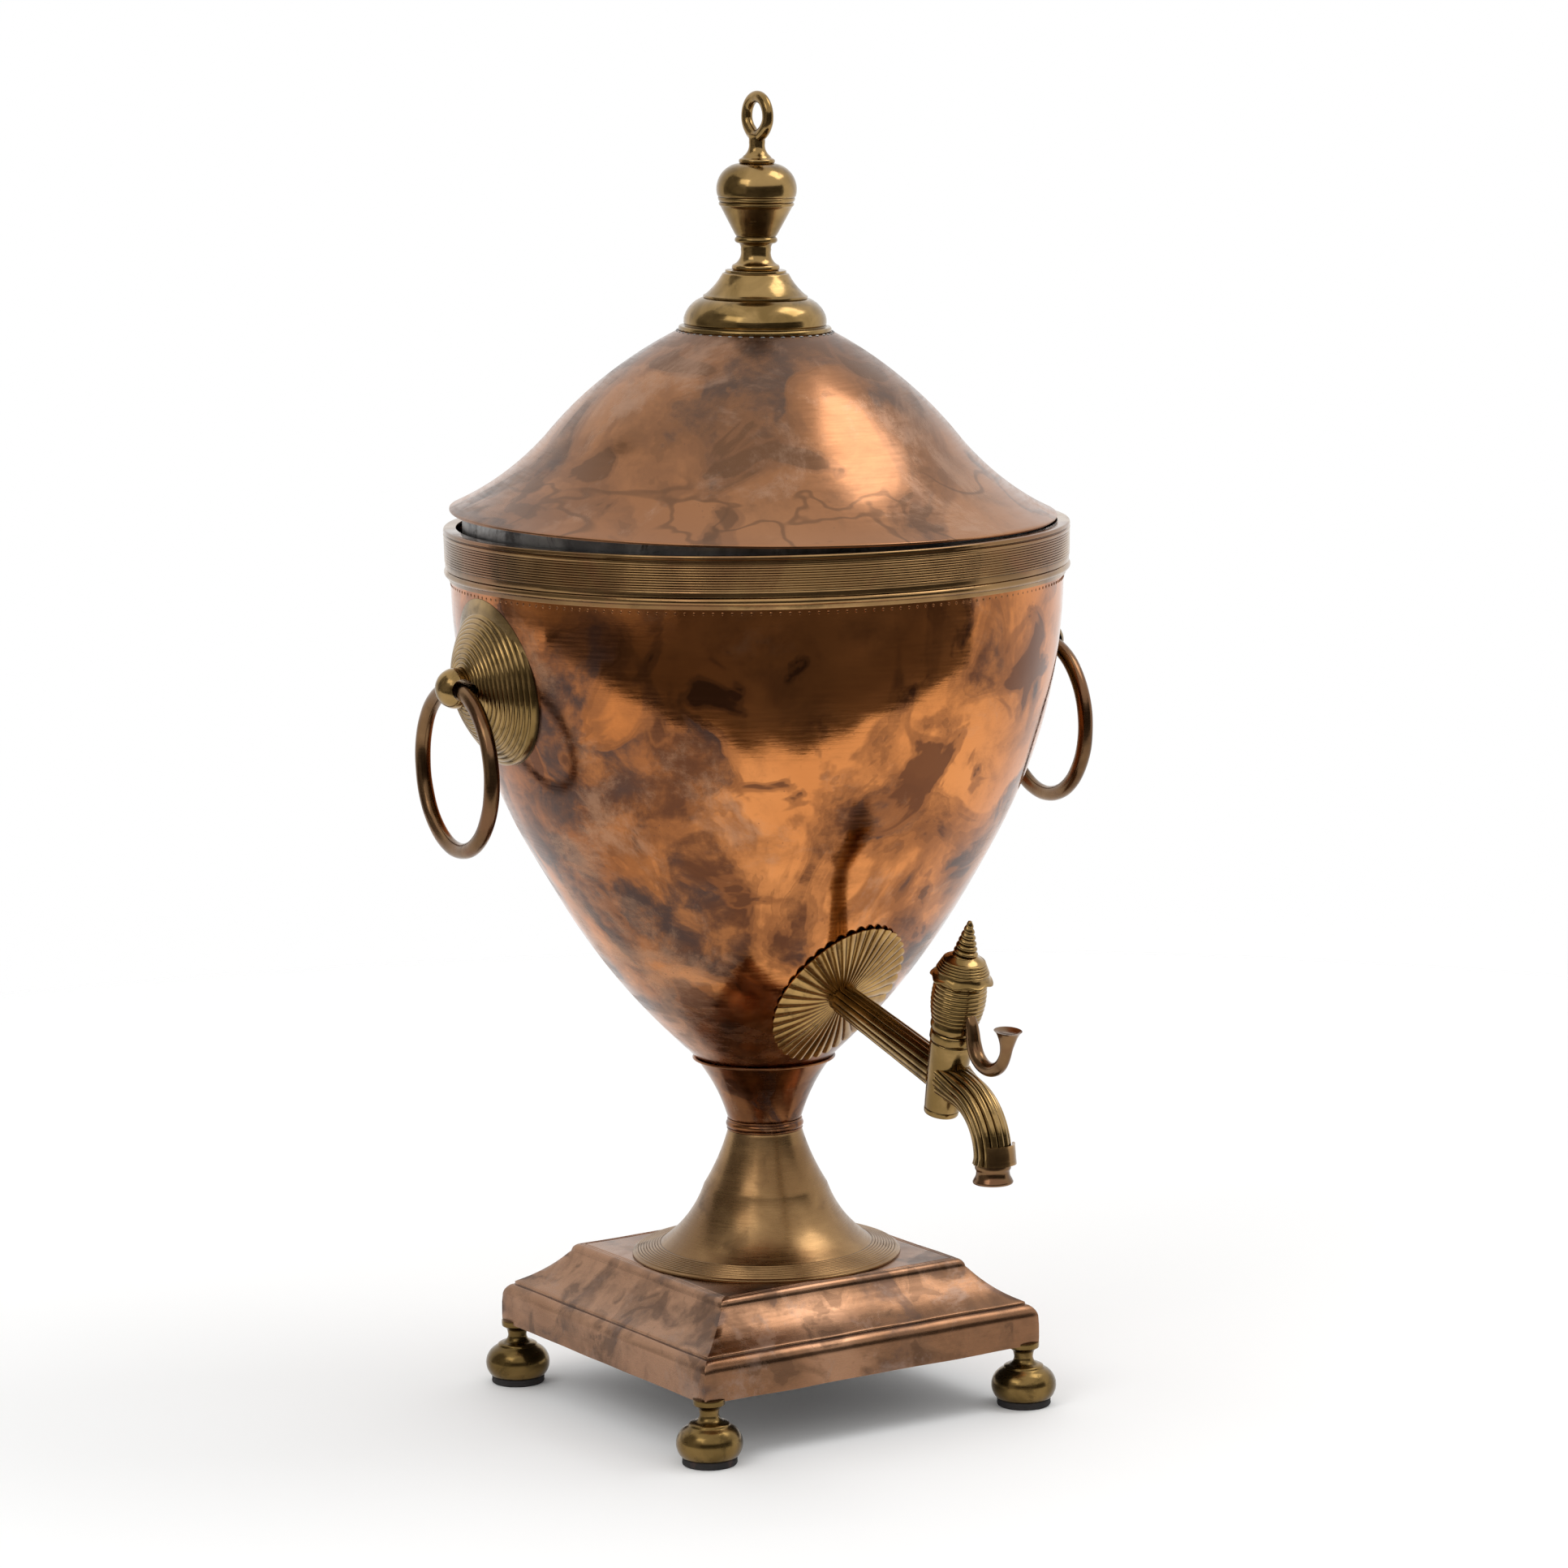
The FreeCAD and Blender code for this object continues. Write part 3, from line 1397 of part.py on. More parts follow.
def lever_shape(radius):
    """Round rod swept along a smooth curve through the lever's points."""
    points = lever_points()
    curve = Part.BSplineCurve()
    curve.interpolate(points)
    path = Part.Wire([curve.toShape()])
    start = curve.tangent(curve.FirstParameter)[0]
    ring = Part.Wire([Part.Circle(points[0], start, radius).toShape()])
    return path.makePipeShell([ring], True, False)


def key_lever():
    """Hooked lever with a flared trumpet end."""
    points = lever_points()
    rod = lever_shape(S.lever_radius.number)
    rise = points[-1] - points[-2]
    rise.normalize()
    length = S.lever_trumpet_length.number
    flare = Part.makeCone(S.lever_radius.number, S.lever_trumpet_radius.number, length * 0.8,
                          points[-1] - rise * length, rise)
    rim_start = points[-1] - rise * length * 0.2
    rim = Part.makeCylinder(S.lever_trumpet_radius.number, length * 0.2, rim_start, rise)
    tang = Part.makeCylinder(S.plug_tang_radius.number + S.fit_gap.number, S.spire_top.number)
    shape = rod.fuse([flare, rim]).cut(tang).removeSplitter()
    return held("key_lever", shape.Solids[0], tap_frame())


def key_fasteners():
    """Retaining washer and screw under the plug."""
    plug_end = S.barrel_recess_depth - S.barrel_bottom - S.solder_gap
    washer_base = plug_end - S.fit_gap - S.key_washer_height
    hole = S.key_screw_tail_radius + S.fit_gap
    ring = washer("key_washer", S.key_washer_radius, S.key_washer_height, washer_base, hole)
    head_top = washer_base - S.fit_gap
    screw = turned(
        "key_screw",
        (0, head_top - S.key_screw_height),
        (S.key_screw_radius, head_top - S.key_screw_height),
        (S.key_screw_radius, head_top),
        (S.key_screw_tail_radius, head_top),
        (S.key_screw_tail_radius, plug_end + S.key_screw_tail_length),
        (0, plug_end + S.key_screw_tail_length),
    )
    for piece in (ring, screw):
        piece.Placement = tap_frame()
    return [ring, screw]


# Lid
def lid_frame():
    """The lid lies askew: shifted and tipped about a level axis at the height of its brim."""
    turn = math.radians(S.lid_tilt_axis.number)
    axis = Vector(math.cos(turn), math.sin(turn), 0)
    raised = Vector(-math.sin(turn), math.cos(turn), 0)
    place = raised * S.lid_shift.number + Vector(0, 0, S.lid_height.number)
    return Placement(place, Rotation(axis, S.lid_tilt.number))


def lid_curve(grow):
    """The lid's outside from brim to crown, moved by a distance square to it."""

    def moved(radius, height, slope):
        return radius + grow * sine(slope), height + grow * cosine(slope)

    cove = moved(S.lid_cove_mid_radius, S.lid_cove_mid_height, S.lid_cove_mid_slope)
    shoulder = moved(S.lid_shoulder_radius, S.lid_shoulder_height, S.lid_shoulder_slope)
    dome = moved(S.lid_dome_mid_radius, S.lid_dome_mid_height, S.lid_dome_mid_slope)
    crown = moved(S.lid_crown_radius, S.lid_crown_height, S.lid_crown_slope)
    return cove, shoulder, dome, crown


def lid_dome():
    """Spun copper lid: coved at the brim, domed above, flat under the collar."""
    cove, shoulder, dome, crown = lid_curve(as_size(0))
    cove_in, shoulder_in, dome_in, crown_in = lid_curve(-S.lid_sheet)
    hole = S.finial_tail_radius + S.rest_gap
    flat = S.lid_crown_height - S.lid_sheet
    return turned(
        "lid_dome",
        (S.lid_brim_radius, 0),
        (S.lid_brim_radius, S.lid_brim_height),
        (*cove, *shoulder),
        (*dome, *crown),
        (hole, S.lid_crown_height),
        (hole, flat),
        (crown_in[0], flat),
        (*dome_in, *shoulder_in),
        (*cove_in, S.lid_brim_radius - S.spigot_ring_sheet, 0),
    )


def lid_spigot():
    """Tinned ring that drops into the bowl's mouth."""
    inner = S.spigot_ring_radius - S.spigot_ring_sheet
    return turned(
        "lid_spigot",
        (inner, -S.spigot_ring_depth),
        (S.spigot_ring_radius, -S.spigot_ring_depth),
        (S.spigot_ring_radius, S.spigot_ring_top),
        (inner, S.spigot_ring_top + S.spigot_ring_bevel),
    )


def lid_collars():
    base = S.lid_crown_height + S.solder_gap
    hole = S.finial_tail_radius + S.fit_gap
    top = base + S.collar_top_height
    wall = S.collar_wall
    lower = turned(
        "lid_collar_lower",
        (S.collar_neck_radius - wall, base),
        (S.collar_foot_radius, base),
        (S.collar_foot_radius, base + S.collar_foot_height),
        (S.collar_neck_radius, base + S.collar_foot_height + S.solder_gap),
        (S.collar_neck_radius, base + S.collar_neck_height),
        (S.collar_dome_radius, base + S.collar_dome_height, S.collar_top_radius, top),
        (hole, top),
        (hole, top - wall),
        (S.collar_top_radius - wall, top - wall),
        (S.collar_neck_radius - wall, base + S.collar_neck_height),
    )
    cone_base = top + S.solder_gap
    cone_top = cone_base + S.cone_top_height
    upper = turned(
        "lid_collar_upper",
        (S.cone_foot_radius - wall, cone_base),
        (S.cone_foot_radius, cone_base),
        (S.cone_mid_radius, cone_base + S.cone_mid_height, S.cone_top_radius, cone_top),
        (hole, cone_top),
        (hole, cone_top - wall),
        (S.cone_top_radius - wall, cone_top - wall),
    )
    return [lower, upper], cone_top


def finial_knob(base):
    """Turned knob with a waist below and a long threaded tail."""
    base = base + S.solder_gap
    bore = S.loop_tail_radius + S.fit_gap
    top = base + S.finial_crown_height
    band = base + S.finial_band_height
    groove = S.finial_groove_depth
    wide = (S.finial_wide_radius, base + S.finial_wide_height)
    return turned(
        "finial_knob",
        (0, base - S.finial_tail_length),
        (S.finial_tail_radius, base - S.finial_tail_length),
        (S.finial_tail_radius, base),
        (S.finial_foot_radius, base),
        (S.finial_foot_radius, base + S.finial_foot_height),
        (S.finial_waist_radius, base + S.finial_waist_height, S.finial_waist_radius + groove,
         base + S.finial_ring_height - groove),
        (S.finial_ring_radius, base + S.finial_ring_height),
        (S.finial_under_radius, base + S.finial_under_height),
        (S.finial_belly_radius, base + S.finial_belly_height, S.finial_band_radius, band),
        (S.finial_band_radius - groove, band + groove),
        (S.finial_band_radius + groove / 2, band + 2 * groove),
        (S.finial_wide_radius - groove / 2, (band + wide[1]) / 2 + groove, *wide),
        (S.finial_shoulder_radius, base + S.finial_shoulder_height, S.finial_crown_radius, top),
        (bore, top),
        (bore, top - S.loop_tail_length - S.rest_gap),
        (0, top - S.loop_tail_length - S.rest_gap),
    ), top


def finial_loop(base):
    """Small ring on a flared neck, screwed into the knob."""
    base = base + S.solder_gap
    neck_top = base + S.loop_flange_height + S.loop_neck_height
    neck = turned(
        "loop_neck",
        (0, base - S.loop_tail_length),
        (S.loop_tail_radius, base - S.loop_tail_length),
        (S.loop_tail_radius, base),
        (S.loop_flange_radius, base),
        (S.loop_flange_radius, base + S.loop_flange_height),
        (
            S.loop_neck_radius,
            base + S.loop_flange_height + S.loop_neck_height / 2,
            S.loop_neck_radius,
            neck_top,
        ),
        (0, neck_top),
    )
    ring = document.addObject("Part::Torus", "loop_ring")
    ring.Radius1 = S.loop_mean_radius.number
    ring.Radius2 = S.loop_wire_radius.number
    bind(ring, "Radius1", S.loop_mean_radius)
    bind(ring, "Radius2", S.loop_wire_radius)
    height = number(neck_top + S.loop_mean_radius)
    ring.Placement = Placement(Vector(0, 0, height), Rotation(Vector(0, 1, 0), 90))
    return joined("finial_loop", [neck, ring])


def lid():
    collars, cone_top = lid_collars()
    knob, knob_top = finial_knob(cone_top)
    hole = S.finial_tail_radius + S.fit_gap
    seat = S.lid_crown_height - S.lid_sheet - S.fit_gap
    washer_base = seat - S.finial_washer_height
    ring = washer("finial_washer", S.finial_washer_radius, S.finial_washer_height, washer_base, hole)
    nut_base = washer_base - S.fit_gap - S.finial_nut_height
    end_nut = nut("finial_nut", S.finial_nut_width, S.finial_nut_height, nut_base, hole)
    pieces = [lid_dome(), lid_spigot(), *collars, knob, finial_loop(knob_top), ring, end_nut]
    for piece in pieces:
        piece.Placement = lid_frame()
    return pieces


def tap():
    return [
        tap_barrel(), tap_shank(), tap_rosette(), *tap_inside_the_bowl(), tap_spout(), spout_nozzle(),
        key_plug(), key_head(), key_cap(), key_lever(), *key_fasteners(),
    ]


def report_failures(pieces):
    """Stops the build when a feature is broken or a piece is empty."""
    broken = [part.Name for part in document.Objects if {"Invalid", "Error"} & set(part.State)]
    empty = [part.Label for part in pieces if part.Shape.isNull() or not part.Shape.isValid()]
    if broken or empty:
        raise RuntimeError(f"broken features: {broken}, empty or invalid pieces: {empty}")


def main():
    pieces = [
        plinth_shell(), plinth_base_plate(), *feet_and_pads(),
        stem_lower(), stem_collar(), stem_upper(), *stem_tie(),
        bowl(), rim_band(), *handles(),
        heater_sleeve(), *heater(), *sleeve_cover(),
        *tap(), *lid(),
    ]
    document.recompute()
    report_failures(pieces)
    os.makedirs("parts", exist_ok=True)
    for piece in pieces:
        piece.Shape.exportStep(os.path.join("parts", piece.Label + ".step"))
        print(piece.Label, len(piece.Shape.Solids), round(piece.Shape.Volume, 1))


main()
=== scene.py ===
import json
import logging
import math
from dataclasses import dataclass
from enum import Enum
from typing import Callable, Generic, Iterable, Optional, Sequence, TypeVar

import bmesh
import bpy
import numpy as np
from mathutils import Matrix, Vector, noise

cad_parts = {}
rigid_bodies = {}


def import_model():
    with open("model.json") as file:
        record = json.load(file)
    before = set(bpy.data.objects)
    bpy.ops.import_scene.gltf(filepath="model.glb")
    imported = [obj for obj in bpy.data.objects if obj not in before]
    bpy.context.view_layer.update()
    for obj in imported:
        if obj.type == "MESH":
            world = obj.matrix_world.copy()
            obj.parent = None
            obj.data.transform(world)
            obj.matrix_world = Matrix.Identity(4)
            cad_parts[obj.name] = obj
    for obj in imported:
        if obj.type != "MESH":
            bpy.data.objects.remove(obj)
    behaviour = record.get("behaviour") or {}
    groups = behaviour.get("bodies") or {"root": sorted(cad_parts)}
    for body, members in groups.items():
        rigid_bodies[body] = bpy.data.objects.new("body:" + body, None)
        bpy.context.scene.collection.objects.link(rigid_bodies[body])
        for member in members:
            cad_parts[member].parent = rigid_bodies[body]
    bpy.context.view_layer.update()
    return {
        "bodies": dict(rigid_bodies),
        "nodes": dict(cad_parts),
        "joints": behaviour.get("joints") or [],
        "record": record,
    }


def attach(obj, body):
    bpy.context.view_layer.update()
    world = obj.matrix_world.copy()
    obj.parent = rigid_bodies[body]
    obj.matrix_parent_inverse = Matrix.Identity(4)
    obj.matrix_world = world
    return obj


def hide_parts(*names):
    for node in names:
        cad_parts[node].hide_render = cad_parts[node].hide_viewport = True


MM = 0.001
FULL_TURN = 2 * math.pi
FINE_STEPS = 256
SMALL_STEPS = 96
SHARP_TURN = math.radians(24)
MOST_OF_A_SIDE = 0.42
RELIEF_GAIN = 2.2

log = logging.getLogger("urn")
Colour = tuple[float, float, float]
Pair = tuple[float, float]
Sizes = TypeVar("Sizes")


class Body(Enum):
    """Bodies of the frame that pieces ride on."""

    URN = "urn"
    LID = "lid"
    RING_LEFT = "ring_left_body"
    RING_RIGHT = "ring_right_body"
    KEY = "tap_key"


class Slot(Enum):
    """Material slots of the record."""

    COPPER = "copper"
    DARK_COPPER = "dark_copper"
    BRASS = "brass"
    WORN_BRASS = "worn_brass"
    TIN = "tin"
    IRON = "iron"
    STEEL = "steel"
    FELT = "felt"
    LEATHER = "leather"


class Outline:
    """Half outline of a turned piece, drawn upward along its outside in millimetres."""

    def __init__(self, radius: float, height: float) -> None:
        """Starts the outline at its first point."""
        self.points: list[Pair] = [(radius, height)]

    def line(self, radius: float, height: float, cuts: int = 1) -> "Outline":
        """Draws a straight line.

        Args:
            radius: Radius of its end.
            height: Height of its end.
            cuts: Number of equal parts.

        Returns:
            The outline itself.
        """
        r0, z0 = self.points[-1]
        for i in range(1, cuts + 1):
            self.points.append((r0 + (radius - r0) * i / cuts, z0 + (height - z0) * i / cuts))
        return self

    def arc(self, via: Pair, end: Pair, cuts: int = 10) -> "Outline":
        """Draws a circular arc through a point.

        Args:
            via: Point on the arc.
            end: End of the arc.
            cuts: Number of equal parts.

        Returns:
            The outline itself.
        """
        start = Vector(self.points[-1])
        middle, last = Vector(via), Vector(end)
        a, b = middle - start, last - start
        twice = 2 * (a.x * b.y - a.y * b.x)
        centre = start + Vector((
            (b.y * a.length_squared - a.y * b.length_squared) / twice,
            (a.x * b.length_squared - b.x * a.length_squared) / twice,
        ))
        reach = (start - centre).length
        first = math.atan2(start.y - centre.y, start.x - centre.x)
        sweep = (math.atan2(last.y - centre.y, last.x - centre.x) - first) % FULL_TURN
        passed = (math.atan2(middle.y - centre.y, middle.x - centre.x) - first) % FULL_TURN
        if passed > sweep:
            sweep -= FULL_TURN
        for i in range(1, cuts + 1):
            angle = first + sweep * i / cuts
            self.points.append((centre.x + reach * math.cos(angle), centre.y + reach * math.sin(angle)))
        return self

    def reeds(self, count: int, radius: float, height: float, depth: float, cuts: int = 8) -> "Outline":
        """Draws a row of round reeds that stand out from a straight line.

        Args:
            count: Number of reeds.
            radius: Radius of the row's end.
            height: Height of the row's end.
            depth: How far a reed stands out.
            cuts: Parts of each reed.

        Returns:
            The outline itself.
        """
        r0, z0 = self.points[-1]
        along = Vector((radius - r0, height - z0))
        out = Vector((along.y, -along.x)).normalized()
        for i in range(1, count * cuts + 1):
            share = i / (count * cuts)
            rise = depth * math.sin(math.pi * (i % cuts) / cuts) ** 0.75
            self.points.append((r0 + along.x * share + out.x * rise,
                                z0 + along.y * share + out.y * rise))
        return self

    def follow(self, curve: Callable[[float], Pair], cuts: int) -> "Outline":
        """Draws a curve given as a function of its share from 0 to 1.

        Args:
            curve: Radius and height at a share of the way.
            cuts: Number of equal parts.

        Returns:
            The outline itself.
        """
        self.points.extend(curve(i / cuts) for i in range(1, cuts + 1))
        return self

    def softened(self, radius: float, closed: bool) -> list[Pair]:
        """Rounds the sharp corners.

        Args:
            radius: How far from a corner its rounding starts.
            closed: Whether the last point joins the first.

        Returns:
            The points with three in place of each sharp corner.
        """
        spots = [Vector(p) for p in self.points]
        count = len(spots)
        result: list[Pair] = []
        for i, here in enumerate(spots):
            if not closed and i in (0, count - 1):
                result.append(tuple(here))
                continue
            back, ahead = spots[i - 1] - here, spots[(i + 1) % count] - here
            if back.length < 1e-6 or ahead.length < 1e-6:
                continue
            turn = math.pi - back.angle(ahead)
            if turn < SHARP_TURN:
                result.append(tuple(here))
                continue
            start = here + back.normalized() * min(radius, back.length * MOST_OF_A_SIDE)
            end = here + ahead.normalized() * min(radius, ahead.length * MOST_OF_A_SIDE)
            middle = (start + end) / 4 + here / 2
            result += [tuple(start), tuple(middle), tuple(end)]
        return result


class Piece:
    """A mesh under construction, in millimetres, in its own frame."""

    def __init__(self, name: str) -> None:
        """Starts an empty mesh."""
        self.name = name
        self.bm = bmesh.new()

    def lathe(self, outline: Outline, closed: bool = True, steps: int = SMALL_STEPS,
              soft: float = 0.25) -> "Piece":
        """Turns an outline about Z.

        Args:
            outline: Outline to turn.
            closed: Whether it is a loop; otherwise its ends lie on the axis.
            steps: Number of steps in the turn.
            soft: Rounding of its sharp corners.

        Returns:
            The piece itself.
        """
        verts = [self.bm.verts.new((r, 0, z)) for r, z in outline.softened(soft, closed)]
        pairs = list(zip(verts, verts[1:])) + ([(verts[-1], verts[0])] if closed else [])
        edges = [self.bm.edges.new(pair) for pair in pairs]
        bmesh.ops.spin(self.bm, geom=verts + edges, cent=(0, 0, 0), axis=(0, 0, 1), dvec=(0, 0, 0),
                       angle=FULL_TURN, steps=steps, use_merge=True, use_duplicate=False)
        bmesh.ops.remove_doubles(self.bm, verts=self.bm.verts, dist=0.001)
        return self

    def skin(self, surface: Callable[[float, float], Vector], along: int, around: int,
             capped: bool = True) -> "Piece":
        """Lays a tube over a surface given by its share along and its share around.

        Args:
            surface: Point at a share along and a share around.
            along: Number of parts along.
            around: Number of parts around.
            capped: Whether both ends are closed.

        Returns:
            The piece itself.
        """
        made = bmesh.ops.create_grid(self.bm, x_segments=along, y_segments=around, size=1.0)["verts"]
        for vert in made:
            vert.co = surface((vert.co.x + 1) / 2, (vert.co.y + 1) / 2)
        bmesh.ops.remove_doubles(self.bm, verts=made, dist=0.0005)
        if capped:
            edges = [e for e in self.bm.edges if e.is_boundary]
            bmesh.ops.holes_fill(self.bm, edges=edges, sides=0)
        return self

    def bead(self, reach: float, angle: float, height: float, radius: float,
             squash: tuple[float, float, float], fineness: int) -> None:
        """Adds a squashed ball at a place round the Z axis.

        Args:
            reach: Distance from the axis.
            angle: Direction from the axis.
            height: Height of the ball's middle.
            radius: Radius of the ball.
            squash: Its scale outward, sideways and upward.
            fineness: Number of subdivisions.
        """
        spot = Matrix.Translation((reach * math.cos(angle), reach * math.sin(angle), height))
        shape = Matrix.Rotation(angle, 4, "Z") @ Matrix.Diagonal((*squash, 1.0))
        bmesh.ops.create_icosphere(self.bm, subdivisions=fineness, radius=radius, matrix=spot @ shape)

    def moved(self, shift: Callable[[Vector], Vector]) -> "Piece":
        """Moves each point by a function of its place.

        Args:
            shift: Move of a point at a place.

        Returns:
            The piece itself.
        """
        for vert in self.bm.verts:
            vert.co += shift(vert.co)
        return self

    def dented(self, depth: float, size: float, seed: float = 0.0) -> "Piece":
        """Gives hand-worked metal its slow waves.

        Args:
            depth: Height of the waves.
            size: Distance between them.
            seed: Offset that makes each piece different.

        Returns:
            The piece itself.
        """
        self.bm.normal_update()
        for vert in self.bm.verts:
            wave = noise.noise(vert.co / size + Vector((seed, seed, seed)))
            vert.co += vert.normal * (wave * depth)
        return self

    def cut_by(self, tool: "Piece") -> "Piece":
        """Takes another piece's volume out of this one.

        Args:
            tool: Piece whose volume is taken out, and which is used up.

        Returns:
            The piece itself.
        """
        made = [self._raw_object(), tool._raw_object()]
        change = made[0].modifiers.new("cut", "BOOLEAN")
        change.object = made[1]
        change.operation = "DIFFERENCE"
        change.solver = "EXACT"
        bpy.context.view_layer.update()
        seen = made[0].evaluated_get(bpy.context.evaluated_depsgraph_get())
        self.bm = bmesh.new()
        self.bm.from_mesh(seen.to_mesh())
        for thing in made:
            mesh = thing.data
            bpy.data.objects.remove(thing)
            bpy.data.meshes.remove(mesh)
        return self

    def drilled(self, frame: Matrix, radius: float, low: float, high: float, steps: int,
                flare: float = 0.0) -> "Piece":
        """Takes a round hole out of the piece.

        Args:
            frame: Frame of the hole, with its axis on Z.
            radius: Radius of the hole.
            low: Height at which it starts.
            high: Height at which it ends.
            steps: Number of steps in its turn.
            flare: How much wider it is at its end.

        Returns:
            The piece itself.
        """
        line = Outline(0, low).line(radius, low).line(radius + flare, high).line(0, high)
        room = Piece("room").lathe(line, closed=False, steps=steps, soft=0.0)
        room.bm.transform(frame)
        return self.cut_by(room)

    def _raw_object(self) -> bpy.types.Object:
        """Hands the mesh to an object of its own, with its faces turned outwards."""
        bmesh.ops.recalc_face_normals(self.bm, faces=self.bm.faces)
        return linked(self.name + "_raw", self.bm)

    def finish(self, frame: Matrix, body: Body, slot: Slot, material: bpy.types.Material,
               nodes: Iterable[str] = (), crease: float = 38.0) -> bpy.types.Object:
        """Places the mesh and hands it to the frame.

        Args:
            frame: The piece's own frame in the row frame, in millimetres.
            body: Body that it rides on.
            slot: Slot of the record for the piece; not used.
            material: Material of the whole piece.
            nodes: CAD nodes that it stands for.
            crease: Least angle of a sharp edge, in degrees.

        Returns:
            The finished object.
        """
        self.bm.transform(Matrix.Scale(MM, 4) @ frame)
        bmesh.ops.recalc_face_normals(self.bm, faces=self.bm.faces)
        thing = linked(self.name, self.bm)
        mesh = thing.data
        mesh.shade_smooth()
        mesh.set_sharp_from_angle(angle=math.radians(crease))
        mark_relief(mesh)
        mesh.materials.append(material)
        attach(thing, body.value)
        if nodes:
            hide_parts(*nodes)
        log.info("%s: %d faces", self.name, len(mesh.polygons))
        return thing


def linked(name: str, bm: bmesh.types.BMesh) -> bpy.types.Object:
    """Makes a mesh an object of the scene.

    Args:
        name: Name of the object and its mesh.
        bm: Mesh under construction, which is used up.

    Returns:
        The object.
    """
    mesh = bpy.data.meshes.new(name)
    bm.to_mesh(mesh)
    bm.free()
    thing = bpy.data.objects.new(name, mesh)
    bpy.context.scene.collection.objects.link(thing)
    return thing


def mark_relief(mesh: bpy.types.Mesh) -> None:
    """Stores how far each point stands out (up to 1) or lies in a hollow (down to -1).

    Args:
        mesh: Mesh that gets the attribute "relief".
    """
    count = len(mesh.vertices)
    place, normal = np.empty(count * 3), np.empty(count * 3)
    mesh.vertices.foreach_get("co", place)
    mesh.vertices.foreach_get("normal", normal)
    place, normal = place.reshape(-1, 3), normal.reshape(-1, 3)
    ends = np.empty(len(mesh.edges) * 2, dtype=int)
    mesh.edges.foreach_get("vertices", ends)
    a, b = ends.reshape(-1, 2).T
    step = place[b] - place[a]
    step /= np.maximum(np.linalg.norm(step, axis=1), 1e-9)[:, None]
    total = np.bincount(a, -(step * normal[a]).sum(1), count)
    total += np.bincount(b, (step * normal[b]).sum(1), count)
    shared = np.maximum(np.bincount(a, minlength=count) + np.bincount(b, minlength=count), 1)
    relief = total / shared
    for _ in range(2):
        mixed = np.bincount(a, relief[b], count) + np.bincount(b, relief[a], count)
        relief = 0.5 * relief + 0.5 * mixed / shared
    layer = mesh.attributes.new("relief", "FLOAT", "POINT")
    layer.data.foreach_set("value", np.clip(relief * RELIEF_GAIN, -1, 1).astype(np.float32))


